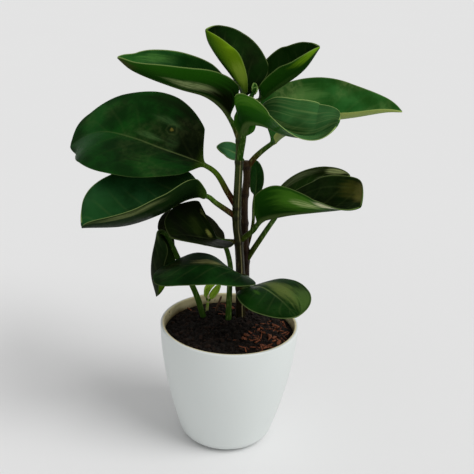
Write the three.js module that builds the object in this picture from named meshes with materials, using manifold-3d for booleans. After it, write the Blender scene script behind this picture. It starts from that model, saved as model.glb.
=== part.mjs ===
// A peperomia in a plain white pot: two stems with broad, stiff leaves, a bud, a sprout and a twig in soil.
// Millimetres, +Z up. The origin is the centre of the pot's underside, and -Y is the side that faces
// the viewer.
import * as THREE from 'three';
import { mergeVertices } from 'three/addons/utils/BufferGeometryUtils.js';
import Module from 'manifold-3d';

const wasm = await Module();
wasm.setup();

// Driving dimensions of the pot and the soil
const RIM_RADIUS = 50;
const POT_HEIGHT = 91;
const BASE_RATIO = 0.643; // radius at the foot, before its rounding, over the rim's radius
const FLARE = 1.72; // how soon the wall turns upright: 1 is a plain cone
const FOOT_ROUND = 7.5;
const LIP = 2.75; // thickness of the wall
const LIP_ROUND = 0.9;
const FLOOR = 4; // thickness of the bottom
const SOIL_EDGE = 83;
const SOIL_RISE = 3; // how much higher the soil stands round the stems
const SOIL_CENTRE = [4, 18]; // the middle of that mound
const CRUMB = 0.7; // height of the soil's relief
const CHIPS = 26;
const CHIP_SIZE = [5.5, 3, 1.8]; // the largest bark chip
const ROUND_SIDES = 40; // facets round the pot and the soil
const INSIDE_HEIGHTS = [6, 8, 11.5, 18, 29, 44, 60, 76, SOIL_EDGE]; // points of the pot's inner wall

// Driving dimensions of the plant
const GAP = 0.3; // clearance between pieces that touch
const HALF_BLADE = 0.6; // half of a blade's thickness
const STALK_RADIUS = 2.2; // of a leaf's stalk at its root
const RIB_REACH = 1.8; // half width of the rib under a blade
const TIP_RADIUS = 0.15; // half width of a blade at its very tip
const NODE_BULGE = 0.5; // how far a stem swells where a leaf leaves it
const NODE_REACH = 2.2; // half length of that swelling
const STALK_STEPS = 5;
const BLADE_STEPS = 12;
const BLADE_COLUMNS = 9; // points from one margin of a blade to the other
const SMALL_STEPS = 6; // and the same two numbers for the small leaves and leaflets
const SMALL_COLUMNS = 5;
const SMALL_WIDTH = 15; // up to which a blade counts as small
const STEM_SIDES = 10;
const STEM_STEP = 5; // distance between a stem's cross-sections
const DOME = 0.4; // height of a stem's rounded top over its radius

// Colours
const POT_WHITE = 0xd8dcd8;
const SOIL_BROWN = 0x1d150f;
const MAIN_BARK = 0x5c5430;
const SIDE_BARK = 0x46281f;
const TWIG_BROWN = 0x5a4334;
const DEEP_GREEN = 0x1c4a1c;
const FRESH_GREEN = 0x3c7426;
const SPROUT_GREEN = 0x6f9a2c;

// The stems: path, radius at the foot, the middle and the top, and the heights of their leaf joints
const STEMS = {
  stem_main: {
    path: [[9, 21, 72], [8, 20, 89], [7, 16, 109], [6, 12, 130], [4, 9, 151], [2, 8, 167], [2, 8, 203],
      [2, 8, 231], [4, 9, 244], [6, 10, 252]],
    radius: [3.7, 3, 2.3],
    joints: [111, 122, 150, 169, 176, 209, 224, 245],
    colour: MAIN_BARK,
  },
  stem_side: {
    path: [[12, 33, 74], [11, 30, 94], [10, 24, 128], [8, 21, 155], [7, 20, 178], [8, 20, 193],
      [7, 20, 206]],
    radius: [3.1, 2.8, 2.5],
    joints: [129, 138, 160, 182, 202],
    colour: SIDE_BARK,
  },
};

// The leaves: each starts on the axis of its stem. Their numbers are explained at leafSection.
const LEAVES = {
  leaf_crown_left: {
    stem: 'stem_main', colour: FRESH_GREEN,
    spine: [[4, 9, 245], [2, 6, 258], [-5, 2, 269], [-14, -3, 281], [-20, -8, 291], [-22, -14, 299]],
    blade: 0.1, width: 52, widest: 0.5, blunt: 0.55, neck: 0.18, lean: 0.14, side: -2,
    up: [[0.6, -0.6, 0.5], [0.7, -0.4, 0.6], [0.7, -0.35, 0.6]], fold: [28, 30, 30], curl: [35, 38, 40],
  },
  leaf_crown_right: {
    stem: 'stem_main', colour: FRESH_GREEN,
    spine: [[5, 10, 248], [15, 13, 252], [23, 13, 258], [34, 12, 266], [43, 9, 275], [51, 5, 289]],
    blade: 0.12, width: 43, widest: 0.5, blunt: 0.5, neck: 0.18, lean: 0, side: 0,
    up: [[-0.6, -0.25, 0.77], [-0.6, -0.3, 0.77], [-0.6, -0.4, 0.7]], fold: [35, 40, 35],
    curl: [30, 35, 30],
  },
  leaf_upper_left: {
    stem: 'stem_main', colour: FRESH_GREEN,
    spine: [[2, 8, 224], [-3, 8, 235], [-11, 6, 247], [-22, 2, 255], [-38, -3, 260], [-57, -8, 267],
      [-69, -12, 273], [-77, -14, 280]],
    blade: 0.14, width: 50, widest: 0.42, blunt: 0.65, neck: 0.2, lean: 0, side: -6,
    up: [[0.3, 0.2, 1], [0.25, -0.22, 1], [0.25, -0.3, 1]], fold: [35, 35, 30], curl: [35, 35, 30],
  },
  leaf_upper_right: {
    stem: 'stem_side', colour: DEEP_GREEN,
    spine: [[7, 20, 201], [14, 22, 210], [23, 23, 218], [36, 22, 228], [56, 18, 237], [79, 12, 243],
      [98, 8, 248], [109, 6, 249]],
    blade: 0.2, width: 67, widest: 0.34, blunt: 0.85, neck: 0.11, lean: -0.06, side: 0,
    up: [[-0.14, -0.4, 1], [-0.14, -0.35, 1]], fold: [35, 30, 30], curl: [20, 20, 20],
  },
  leaf_front_folded: {
    stem: 'stem_main', colour: FRESH_GREEN,
    spine: [[2, 8, 209], [4, 2, 225], [6, -10, 239], [15, -22, 243], [30, -34, 240], [46, -44, 242],
      [60, -51, 252]],
    blade: 0.21, width: 53, widest: 0.66, blunt: 0.25, neck: 0.05, lean: 0.05, side: 0,
    up: [[0.3, 0.3, 1], [0.2, -0.26, 1], [0.25, -0.3, 0.9]], fold: [40, 38, 2], curl: [30, 20, 5],
  },
  leaf_large_left: {
    stem: 'stem_main', colour: DEEP_GREEN,
    spine: [[2, 8, 176], [-5, 11, 186], [-15, 14, 200], [-32, 17, 207], [-54, 25, 212], [-74, 34, 216],
      [-95, 44, 217], [-111, 52, 211], [-123, 56, 202]],
    blade: 0.23, width: 84, widest: 0.49, blunt: 0.75, neck: 0.12, lean: 0.02, side: 0,
    up: [[-0.1, -0.6, 0.8], [-0.1, -0.55, 0.85], [-0.1, -0.5, 0.9]], fold: [22, 11, 6], curl: [0, 0, 0],
  },
  leaf_middle_left: {
    stem: 'stem_main', colour: DEEP_GREEN,
    spine: [[2, 8, 169], [-12, 6, 179], [-20, 4, 185], [-33, 1, 184], [-50, -6, 175], [-73, -14, 168],
      [-101, -22, 168]],
    blade: 0.24, width: 80, widest: 0.46, blunt: 0.34, neck: 0.05, lean: -0.16, side: 8,
    up: [[-0.15, 0, 1], [-0.3, -0.05, 0.95], [-0.5, -0.1, 0.85]], fold: [33, 32, 27], curl: [20, 20, 20],
  },
  leaf_lower_left: {
    stem: 'stem_main', colour: DEEP_GREEN,
    spine: [[4, 9, 150], [-5, 5, 152], [-16, -4, 156], [-27, -13, 161], [-35, -22, 165],
      [-41, -31, 167]],
    stalk: 1.7, blade: 0.24, width: 62, widest: 0.36, blunt: 0.7, neck: 0.22, lean: 0.08, side: 5,
    up: [[0.1, -0.15, 1], [0.1, -0.2, 0.9]], fold: [30, 18, 10], curl: [10, 5, 5],
  },
  leaf_low_front: {
    stem: 'stem_main', colour: DEEP_GREEN,
    spine: [[6, 13, 122], [11, 3, 125], [9, -9, 131], [0, -18, 139], [-15, -23, 145], [-32, -25, 144],
      [-53, -22, 135]],
    blade: 0.2, width: 43, widest: 0.53, blunt: 0.4, neck: 0.15, lean: 0, side: 0,
    up: [[0, -0.1, 1], [0, -0.15, 1]], fold: [0, -5, -5], curl: [0, -5, 0],
  },
  leaf_low_right: {
    stem: 'stem_main', colour: DEEP_GREEN,
    spine: [[7, 16, 111], [13, 3, 117], [22, -11, 124], [34, -30, 124], [44, -48, 121]],
    blade: 0.22, width: 49, widest: 0.5, blunt: 0.6, neck: 0.1, lean: 0, side: 0,
    up: [[0, -0.1, 1], [0, -0.3, 1]], fold: [5, 0, 0], curl: [0, 0, 0],
  },
  leaf_right_near: {
    stem: 'stem_main', colour: FRESH_GREEN,
    spine: [[4, 9, 150], [13, 7, 159], [20, 1, 170], [35, -8, 178], [51, -18, 184], [66, -26, 189],
      [80, -41, 197]],
    blade: 0.2, width: 51, widest: 0.6, blunt: 0.38, neck: 0.12, lean: 0.1, side: -6,
    up: [[0.15, 0.5, 0.85], [0.15, 0.05, 1], [0.1, -0.5, 0.85]], fold: [53, 39, 13], curl: [20, 25, 25],
  },
  leaf_right_far: {
    stem: 'stem_side', colour: DEEP_GREEN,
    spine: [[10, 24, 129], [18, 21, 145], [28, 24, 161], [39, 28, 176], [57, 30, 187], [82, 30, 196]],
    blade: 0.4, width: 28, widest: 0.5, blunt: 0.6, neck: 0.12, lean: 0, side: 0,
    up: [[0, -0.2, 1], [0, -0.3, 1]], fold: [30, 30, 25], curl: [20, 20, 20],
  },
  leaf_small_back: {
    stem: 'stem_side', colour: DEEP_GREEN, stalk: 1.2,
    spine: [[10, 23, 137], [14, 26, 157], [14, 28, 172], [15, 29, 183], [15, 29, 193], [14, 28, 205]],
    blade: 0.6, width: 11, widest: 0.5, blunt: 0.6, neck: 0.15, lean: 0, side: 0,
    up: [[0.1, -1, 0.2], [0.1, -1, 0.2]], fold: [20, 20, 10], curl: [0, 0, 0],
  },
  leaf_small_mid: {
    stem: 'stem_side', colour: FRESH_GREEN, stalk: 1.2,
    spine: [[7, 20, 203], [3, 21, 209], [-5, 22, 213], [-14, 20, 216]],
    blade: 0.2, width: 13, widest: 0.45, blunt: 0.7, neck: 0.15, lean: 0, side: 0,
    up: [[0, -0.8, 0.8], [0, -0.8, 0.8]], fold: [10, 10, 10], curl: [0, 0, 0],
  },
  leaf_drooping: {
    colour: FRESH_GREEN,
    spine: [[-16, 21, 73], [-19, 20, 81], [-24, 18, 99], [-30, 15, 115], [-38, 12, 132], [-44, 9, 147],
      [-49, 6, 156], [-53, 6, 156], [-55, 6, 148], [-57, 4, 136], [-57, 3, 123], [-53, 0, 109]],
    blade: 0.62, width: 35, widest: 0.48, blunt: 0.6, neck: 0.18, lean: 0, side: -28,
    up: [[-0.3, -0.3, 1], [-1, -0.2, 0.1], [-1, -0.2, 0.1]], fold: [-40, -46, -30],
    curl: [-10, -10, -10],
  },
  leaf_shaded: {
    colour: DEEP_GREEN,
    spine: [[-1, 13, 74], [-1, 14, 87], [-1, 18, 108], [-1, 22, 125], [-6, 25, 141], [-15, 26, 148],
      [-28, 26, 155], [-42, 24, 158], [-54, 20, 152]],
    blade: 0.55, width: 32, widest: 0.55, blunt: 0.55, neck: 0.12, lean: 0, side: 0,
    up: [[0, -0.4, 1], [-0.2, -0.4, 1]], fold: [0, 0, 0], curl: [0, 0, 0],
  },
};

// Small growth that is one piece each: a stalk and the leaflets that grow from its top
const BUD = {
  foot: [[7.6, 7.4, 252.4], [9.2, 5.2, 257.5]],
  radius: [1.6, 1.6, 1.2],
  leaflets: [
    [[9.2, 5.2, 256], [10.6, 4, 258.5], [12, 3, 261.5]],
    [[9.2, 5.2, 256], [9.7, 5.4, 260], [10, 5.5, 264]],
  ],
  width: 5,
  up: [[-0.3, -0.7, 0.5], [0.3, -0.8, 0.4]],
};
const SPROUT = {
  foot: [[-19, 29, 75], [-17.5, 28, 86], [-17, 27, 95]],
  radius: [1.2, 1.1, 1],
  leaflets: [
    [[-17, 27, 93], [-19, 26, 101], [-17, 25, 107], [-11, 25, 111]],
    [[-17, 27, 93], [-14, 26, 98], [-11, 25, 103], [-8, 25, 109]],
  ],
  width: 6.5,
  up: [[0.5, -0.7, 0.4], [-0.3, -0.8, 0.5]],
};
const TWIG = { foot: [[-12, 29, 78], [-10, 27, 88], [-7, 25, 99]], radius: [1, 0.9, 0.7] };

const smooth = (x) => THREE.MathUtils.smoothstep(x, 0, 1);

// A value that runs evenly through two values, or on a parabola through three, as t goes from 0 to 1.
function between(values, t) {
  if (values.length === 2) return values[0] + (values[1] - values[0]) * t;
  const [first, middle, last] = values;
  return first * (1 - t) * (1 - 2 * t) + 4 * middle * t * (1 - t) + last * t * (2 * t - 1);
}

function curveThrough(points) {
  return new THREE.CatmullRomCurve3(points.map((p) => new THREE.Vector3(...p)), false, 'catmullrom');
}

// A solid from a geometry: only its positions, with the vertices that coincide merged.
function solidFrom(geometry) {
  const bare = new THREE.BufferGeometry();
  bare.setAttribute('position', geometry.attributes.position);
  bare.setIndex(geometry.index);
  const merged = mergeVertices(bare);
  return new wasm.Manifold(new wasm.Mesh({
    numProp: 3,
    vertProperties: merged.attributes.position.array,
    triVerts: new Uint32Array(merged.index.array),
  }));
}

function geometryFrom(solid) {
  const { vertProperties, triVerts } = solid.getMesh();
  const geometry = new THREE.BufferGeometry();
  geometry.setAttribute('position', new THREE.BufferAttribute(vertProperties, 3));
  geometry.setIndex(new THREE.BufferAttribute(triVerts, 1));
  geometry.computeVertexNormals();
  return geometry;
}

// The largest body of a solid, for a cut that leaves a loose scrap.
function largest(solid) {
  return solid.decompose().reduce((best, body) => (body.volume() > best.volume() ? body : best));
}

// A closed solid from rings of points, each ring turning left as seen from behind the first one: faces
// between neighbouring rings, and a fan over each end round the points start and end. Columns from
// flipFrom on are split along the other diagonal.
function loft(rings, start, end, flipFrom = Infinity) {
  const count = rings[0].length;
  const points = [...rings.flat(), start, end];
  const startIndex = points.length - 2;
  const endIndex = points.length - 1;
  const faces = [];
  for (let i = 0; i + 1 < rings.length; i += 1) {
    for (let k = 0; k < count; k += 1) {
      const a = i * count + k;
      const b = i * count + (k + 1) % count;
      const c = b + count;
      const d = a + count;
      if (k < flipFrom) faces.push(a, c, b, a, d, c);
      else faces.push(a, d, b, b, d, c);
    }
  }
  const last = (rings.length - 1) * count;
  for (let k = 0; k < count; k += 1) {
    const next = (k + 1) % count;
    faces.push(startIndex, k, next);
    faces.push(endIndex, last + next, last + k);
  }
  const geometry = new THREE.BufferGeometry().setFromPoints(points);
  geometry.setIndex(faces);
  return solidFrom(geometry);
}

// A round rod along a path. radiusAt gives its radius from the share of the way and the height. extra
// makes it thicker and longer all over, to cut clearance for it.
function rod(path, radiusAt, extra) {
  const curve = curveThrough(path);
  const steps = Math.ceil(curve.getLength() / STEM_STEP);
  const frames = curve.computeFrenetFrames(steps);
  const rings = [];
  for (let i = 0; i <= steps; i += 1) {
    const centre = curve.getPointAt(i / steps);
    const radius = radiusAt(i / steps, centre.z) + extra;
    if (i === 0) centre.addScaledVector(frames.tangents[0], -extra);
    const ring = [];
    for (let k = 0; k < STEM_SIDES; k += 1) {
      const angle = (-2 * Math.PI * k) / STEM_SIDES;
      ring.push(centre.clone()
        .addScaledVector(frames.normals[i], radius * Math.cos(angle))
        .addScaledVector(frames.binormals[i], radius * Math.sin(angle)));
    }
    rings.push(ring);
  }
  const start = curve.getPointAt(0).addScaledVector(frames.tangents[0], -extra);
  const domeHeight = DOME * radiusAt(1, 0) + 2 * extra;
  const end = curve.getPointAt(1).addScaledVector(frames.tangents[steps], domeHeight);
  return loft(rings, start, end);
}

// A stem, swollen at its leaf joints.
function stemSolid({ path, radius, joints }, extra = 0) {
  return rod(path, (share, height) => {
    const swell = joints.reduce((sum, joint) => sum + Math.exp(-(((height - joint) / NODE_REACH) ** 2)), 0);
    return between(radius, share) + NODE_BULGE * swell;
  }, extra);
}

// The radius of a leaf's stalk, s of the way along the spine. It thins to three quarters at the blade.
function stalkRadius({ stalk = STALK_RADIUS, blade }, s) {
  return stalk * Math.max(0.25, 1 - (0.25 * s) / Math.max(blade, 0.05));
}

// Shares of the spine where a leaf has cross-sections: even on the stalk, closer together at both ends
// of the blade.
function leafStations({ blade }, steps) {
  const stations = [];
  for (let i = 0; i < STALK_STEPS; i += 1) stations.push((blade * i) / STALK_STEPS);
  for (let i = 0; i < steps; i += 1) {
    stations.push(blade + ((1 - blade) * (1 - Math.cos((Math.PI * i) / steps))) / 2);
  }
  return stations;
}

// Shares of the blade's half width where a cross-section has points, from -1 at the left margin to 1.
function bladeColumns(count) {
  return Array.from({ length: count }, (_, j) => Math.sin((j / (count - 1) - 0.5) * Math.PI));
}

// One cross-section of a leaf's middle surface, s of the way along its spine. t is the share of the
// blade. Each half rises from the spine by the fold angle and bends on by the curl angle, and its width
// is width / 2 times (t / widest) ** rise * ((1 - t) / (1 - widest)) ** blunt, which is 1 where t = widest.
// Over the share neck the blade widens from its stalk. lean moves the widest place of the left half to
// the tip and that of the right half to the base, and side adds to the right half's fold what it takes
// from the left half's.
function leafSection(row, curve, s, columns, extra) {
  const { blade, width, widest, blunt, neck, lean, side } = row;
  const t = Math.min(Math.max((s - blade) / (1 - blade), 0), 1);
  const centre = curve.getPointAt(s);
  const along = curve.getTangentAt(s);
  const ups = row.up.map((u) => new THREE.Vector3(...u).normalize().toArray());
  const up = new THREE.Vector3(...[0, 1, 2].map((axis) => between(ups.map((u) => u[axis]), t)));
  up.addScaledVector(along, -up.dot(along)).normalize();
  const right = new THREE.Vector3().crossVectors(along, up);
  const radius = stalkRadius(row, s);
  const opening = smooth(t / 0.1);
  const curl = THREE.MathUtils.degToRad(between(row.curl, t)) + 1e-4;
  const points = [];
  const reaches = [];
  for (const v of columns) {
    const sign = Math.sign(v);
    const crest = widest - lean * sign;
    const rise = (blunt * crest) / (1 - crest);
    const outline = (t / crest) ** rise * ((1 - t) / (1 - crest)) ** blunt * smooth(t / neck);
    const reach = Math.hypot((width / 2) * outline, radius * (1 - smooth(t / 0.25))) + TIP_RADIUS + extra;
    const fold = THREE.MathUtils.degToRad(between(row.fold, t) + side * sign) * opening;
    const outer = fold + curl * Math.abs(v);
    const across = ((Math.sin(outer) - Math.sin(fold)) / curl) * reach * sign;
    const above = ((Math.cos(fold) - Math.cos(outer)) / curl) * reach;
    points.push(centre.clone().addScaledVector(right, across).addScaledVector(up, above));
    reaches.push(v * reach);
  }
  return { t, radius, points, reaches };
}

// The normal of a grid of points at row i and column j, from its neighbours.
function gridNormal(grid, i, j) {
  const at = (row, column) => grid[Math.min(Math.max(row, 0), grid.length - 1)]
    .points[Math.min(Math.max(column, 0), grid[0].points.length - 1)];
  const across = new THREE.Vector3().subVectors(at(i, j + 1), at(i, j - 1));
  const along = new THREE.Vector3().subVectors(at(i + 1, j), at(i - 1, j));
  return across.cross(along).normalize();
}

// A whole leaf: a round stalk that opens into a blade, with a rib under it. extra makes the stalk
// thicker and longer, to cut clearance for it.
function leafSolid(row, extra = 0) {
  const curve = curveThrough(row.spine);
  const columns = bladeColumns(row.width > SMALL_WIDTH ? BLADE_COLUMNS : SMALL_COLUMNS);
  const stations = leafStations(row, row.width > SMALL_WIDTH ? BLADE_STEPS : SMALL_STEPS);
  const grid = stations.map((s) => leafSection(row, curve, s, columns, extra));
  const rings = grid.map(({ t, radius, points, reaches }, i) => {
    const top = [];
    const bottom = [];
    const flat = smooth(t / 0.2);
    points.forEach((point, j) => {
      const v = columns[j];
      const normal = gridNormal(grid, i, j);
      const round = (radius + extra) * Math.sqrt(1 - Math.min(v * v, 1));
      const half = (1 - flat) * round + flat * HALF_BLADE * Math.sqrt(1 - Math.min(v ** 6, 1));
      const rib = radius * (1 - t) ** 0.7 * flat * Math.exp(-((reaches[j] / RIB_REACH) ** 2));
      top.push(point.clone().addScaledVector(normal, half));
      bottom.push(point.clone().addScaledVector(normal, -half - rib));
    });
    return [...bottom, ...top.slice(1, -1).reverse()];
  });
  const back = curve.getTangentAt(0).multiplyScalar(-extra);
  rings[0].forEach((point) => point.add(back));
  return loft(rings, curve.getPointAt(0).add(back), curve.getPointAt(1), columns.length - 1);
}

// A thin stem of even taper.
function shootSolid({ foot, radius }, extra = 0) {
  return rod(foot, (share) => between(radius, share), extra);
}

// A stalk with leaflets from its top, joined in one solid.
function growthSolid(growth) {
  const { leaflets, width, up } = growth;
  return leaflets.reduce((solid, spine, i) => solid.add(leafSolid({
    spine, width, up: [up[i], up[i]], stalk: 0.8, fold: [30, 30, 25], curl: [10, 10, 10],
    blade: 0.15, widest: 0.5, blunt: 0.6, neck: 0.2, lean: 0, side: 0,
  })), shootSolid(growth));
}

// How far the foot's rounding pulls the wall in, at a height above the flat that it starts from.
function footInset(height) {
  const share = Math.min(height / FOOT_ROUND, 1);
  return FOOT_ROUND * (1 - Math.sqrt(1 - (1 - share) ** 2));
}

function wallRadius(z) {
  return RIM_RADIUS * (1 - (1 - BASE_RATIO) * (1 - z / POT_HEIGHT) ** FLARE);
}

// The radius of the pot's inside at height z.
function innerRadius(z) {
  return wallRadius(z) - LIP - footInset(z - FLOOR);
}

// A solid of revolution about +Z from [radius, height] pairs that run from the axis, up and back to it.
function turned(profile) {
  const outline = profile.map(([r, z]) => new THREE.Vector2(r, z));
  return new THREE.LatheGeometry(outline, ROUND_SIDES).rotateX(Math.PI / 2);
}

function potSolid() {
  const outside = [0, 0.6, 2, 4.2, 7.5, 17, 29, 44, 60, 76].map((z) => [wallRadius(z) - footInset(z), z]);
  const inside = [FLOOR, ...INSIDE_HEIGHTS].map((z) => [innerRadius(z), z]).reverse();
  const lipOuter = [
    [RIM_RADIUS, POT_HEIGHT - LIP_ROUND],
    [RIM_RADIUS - 0.3 * LIP_ROUND, POT_HEIGHT - 0.3 * LIP_ROUND],
    [RIM_RADIUS - LIP_ROUND, POT_HEIGHT],
  ];
  const lipInner = lipOuter.map(([r, z]) => [2 * RIM_RADIUS - LIP - r, z]).reverse();
  return solidFrom(turned([[0, 0], ...outside, ...lipOuter, ...lipInner, ...inside, [0, FLOOR]]));
}

// The height of the soil's surface: a low mound with crumbly relief that fades out at the edge.
function soilHeight(x, y) {
  const share = Math.hypot(x, y) / innerRadius(SOIL_EDGE);
  const mound = Math.exp(-(((x - SOIL_CENTRE[0]) / 30) ** 2) - ((y - SOIL_CENTRE[1]) / 26) ** 2);
  const crumbs = Math.sin(x * 0.71 + 1.3) * Math.sin(y * 0.83) + 0.6 * Math.sin(x * 0.37 - y * 0.59 + 2);
  return SOIL_EDGE + SOIL_RISE * mound + CRUMB * crumbs * smooth((1 - share) / 0.15);
}

// Bark chips that lie half sunk in the soil, most of them at the front right.
function chipSolids() {
  const random = mulberry(7);
  const chips = [];
  for (let i = 0; i < CHIPS; i += 1) {
    const angle = -0.9 + (random() - 0.5) * (i < 0.6 * CHIPS ? 1.6 : 6);
    const distance = 12 + 29 * Math.sqrt(random());
    const [x, y] = [distance * Math.cos(angle), distance * Math.sin(angle)];
    const scale = 0.55 + 0.45 * random();
    const chip = new THREE.BoxGeometry(...CHIP_SIZE.map((size) => size * scale));
    chip.rotateX((random() - 0.5) * 0.7);
    chip.rotateY((random() - 0.5) * 0.7);
    chip.rotateZ(random() * Math.PI);
    chip.translate(x, y, soilHeight(x, y) + 0.2 * CHIP_SIZE[2]);
    chips.push(solidFrom(chip));
  }
  return chips;
}

// A seeded draw of even random numbers from 0 to 1.
function mulberry(seed) {
  let state = seed;
  return () => {
    state = (state + 0x6d2b79f5) | 0;
    let mixed = Math.imul(state ^ (state >>> 15), 1 | state);
    mixed = (mixed + Math.imul(mixed ^ (mixed >>> 7), 61 | mixed)) ^ mixed;
    return ((mixed ^ (mixed >>> 14)) >>> 0) / 4294967296;
  };
}

// The soil: it fills the pot, and the stems, stalks, sprout and twig stand in holes in it.
function soilSolid() {
  const foot = FLOOR + GAP;
  const sides = INSIDE_HEIGHTS.map((z) => [innerRadius(z) - GAP, z]);
  const edge = innerRadius(SOIL_EDGE) - GAP;
  const shares = [0.97, 0.9, 0.8, 0.7, 0.6, 0.48, 0.36, 0.24, 0.12, 0];
  const surface = shares.map((share) => [edge * share, SOIL_EDGE]);
  const body = turned([[0, foot], [innerRadius(FLOOR) - 3 * GAP, foot], ...sides, ...surface]);
  const position = body.attributes.position;
  for (let i = 0; i < position.count; i += 1) {
    if (position.getZ(i) > SOIL_EDGE - GAP) {
      position.setZ(i, soilHeight(position.getX(i), position.getY(i)));
    }
  }
  const rooms = [
    ...Object.values(STEMS).map((stem) => stemSolid(stem, GAP)),
    ...Object.values(LEAVES).filter((row) => !row.stem).map((row) => leafSolid(row, GAP)),
    ...[SPROUT, TWIG].map((shoot) => shootSolid(shoot, GAP)),
  ];
  const filled = chipSolids().reduce((solid, chip) => solid.add(chip), solidFrom(body));
  return largest(rooms.reduce((solid, room) => solid.subtract(room), filled));
}

const plant = new THREE.Group();

function place(name, solid, colour, roughness) {
  const material = new THREE.MeshStandardMaterial({ color: colour, roughness, metalness: 0 });
  const mesh = new THREE.Mesh(geometryFrom(solid), material);
  mesh.name = name;
  plant.add(mesh);
}

place('pot', potSolid(), POT_WHITE, 0.4);
place('soil', soilSolid(), SOIL_BROWN, 0.95);
for (const [name, stem] of Object.entries(STEMS)) place(name, stemSolid(stem), stem.colour, 0.55);
for (const [name, row] of Object.entries(LEAVES)) {
  const whole = leafSolid(row);
  const cut = row.stem ? largest(whole.subtract(stemSolid(STEMS[row.stem], GAP))) : whole;
  place(name, cut, row.colour, 0.35);
}
place('bud_crown', growthSolid(BUD), FRESH_GREEN, 0.4);
place('shoot_soil', growthSolid(SPROUT), SPROUT_GREEN, 0.4);
place('twig_dry', shootSolid(TWIG), TWIG_BROWN, 0.8);

export default plant;
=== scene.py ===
"""The looks of a potted peperomia: pot, soil, stems, leaves and small growth in a plain studio.

The tables and the lengths below are in millimetres where nothing else is said, and what Blender gets is in
metres. +Z is up, the origin is the centre of the pot's underside, and the side towards the viewer is -Y.
"""
import math

import bpy
import numpy as np
from mathutils import Matrix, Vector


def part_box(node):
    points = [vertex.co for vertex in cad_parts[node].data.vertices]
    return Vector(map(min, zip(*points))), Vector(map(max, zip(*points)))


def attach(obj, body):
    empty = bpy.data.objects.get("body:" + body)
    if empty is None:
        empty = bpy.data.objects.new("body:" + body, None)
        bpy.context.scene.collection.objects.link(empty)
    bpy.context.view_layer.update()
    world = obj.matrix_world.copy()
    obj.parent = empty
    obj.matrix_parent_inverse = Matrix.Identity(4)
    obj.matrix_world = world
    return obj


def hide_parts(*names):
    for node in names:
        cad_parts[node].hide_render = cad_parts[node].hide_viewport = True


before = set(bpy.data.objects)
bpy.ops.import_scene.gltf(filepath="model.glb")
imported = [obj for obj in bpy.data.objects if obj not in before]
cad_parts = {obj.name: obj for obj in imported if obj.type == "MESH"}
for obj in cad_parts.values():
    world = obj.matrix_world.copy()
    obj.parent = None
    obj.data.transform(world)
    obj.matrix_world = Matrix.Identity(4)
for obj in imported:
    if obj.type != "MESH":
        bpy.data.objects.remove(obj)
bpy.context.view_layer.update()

bl_info = {
    "name": "Potted Peperomia",
    "version": (1, 0, 0),
    "blender": (4, 5, 0),
    "location": "3D View > Sidebar > Peperomia",
    "description": "Builds a peperomia with glossy leaves in a white pot, and a studio for it",
    "category": "Object",
}

POT_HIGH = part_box("pot")[1]

MM = 0.001
FRAME_SIDE = 474  # pixels of the square photograph
FOCAL_LENGTH = 821  # the same pixels
SENSOR = 36
FLOOR_REACH = 12  # metres from the pot to the floor's sides
SIDE_VEINS = 6.5  # pairs along a blade
NARROW_PATCH = 0.3  # half width under which a patch on a leaf is broken into flecks
BLEMISHED_BLADE = 110  # length of the blade with the worn spot
UNDERSIDE_GLOSS = 0.1  # share of the upper side's
STALK_RINGS = 24
SMALL_LEAF = 15  # width under which a leaf gets fewer faces
LEAFLET_STEPS, LEAFLET_COLUMNS = 40, 21
POT_SIDES, SOIL_SIDES, SOIL_RINGS, WALL_RINGS = 256, 300, 150, 60
ROUND_STEPS = 8  # points of a quarter circle at the lip and at a rod's end
MOUND_AT, MOUND_REACH = (4, 18), (30, 26)  # x and y of the soil's mound
CRUMB_RADIUS = 1.8
CHIP_SIZE, FIBRE_SIZE = (6.5, 3.2, 1.6), (9, 1.2, 0.9)
CHIP_SHARE, RIGHT_SHARE = 0.2, 0.85  # the chips among chips and fibres, and those at the right


def linear(code):
    """The linear colour of an sRGB hex code such as "#2a4b10"."""
    channels = [int(code[i:i + 2], 16) / 255 for i in (1, 3, 5)]
    return tuple(c / 12.92 if c <= 0.04045 else ((c + 0.055) / 1.055) ** 2.4 for c in channels)


def shade(colour, factor):
    """The colour at a share of its brightness."""
    return tuple(factor * channel for channel in colour)


def length(name, description, default):
    return bpy.props.FloatProperty(name=name, description=description, default=default, min=0, precision=5,
                                   subtype="DISTANCE", unit="LENGTH")


def colour(name, description, code):
    return bpy.props.FloatVectorProperty(name=name, description=description, default=linear(code), size=3,
                                         min=0, max=1, subtype="COLOR")


def share(name, description, default, highest=1.0):
    return bpy.props.FloatProperty(name=name, description=description, default=default, min=0, max=highest,
                                   subtype="FACTOR")


def count(name, description, default):
    return bpy.props.IntProperty(name=name, description=description, default=default, min=4)


class PeperomiaPotSettings(bpy.types.PropertyGroup):
    rim_radius: length("Rim radius", "Outer radius at the rim", POT_HIGH.x)
    height: length("Height", "Height of the pot", POT_HIGH.z)
    base_ratio: share("Base ratio", "Radius at the foot over the radius at the rim", 0.643)
    flare: share("Flare", "How soon the wall turns upright; 1 is a plain cone", 1.72, 4)
    foot_round: length("Foot rounding", "Radius of the edge at the foot", 7.5 * MM)
    lip: length("Lip", "Thickness of the wall", 2.75 * MM)
    lip_round: length("Lip rounding", "Radius of the edges at the rim", 0.9 * MM)
    floor: length("Bottom", "Thickness of the bottom", 4 * MM)
    glaze: colour("Glaze", "Satin white of the outside", "#dadfdd")
    # The inside's cream is painted shade and warm bounce light on the pot's white wall.
    inside: colour("Inside", "Cream of the unglazed inside", "#d8cda2")
    dirt: colour("Dirt", "Soil that sticks to the inside", "#5c4a22")


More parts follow.
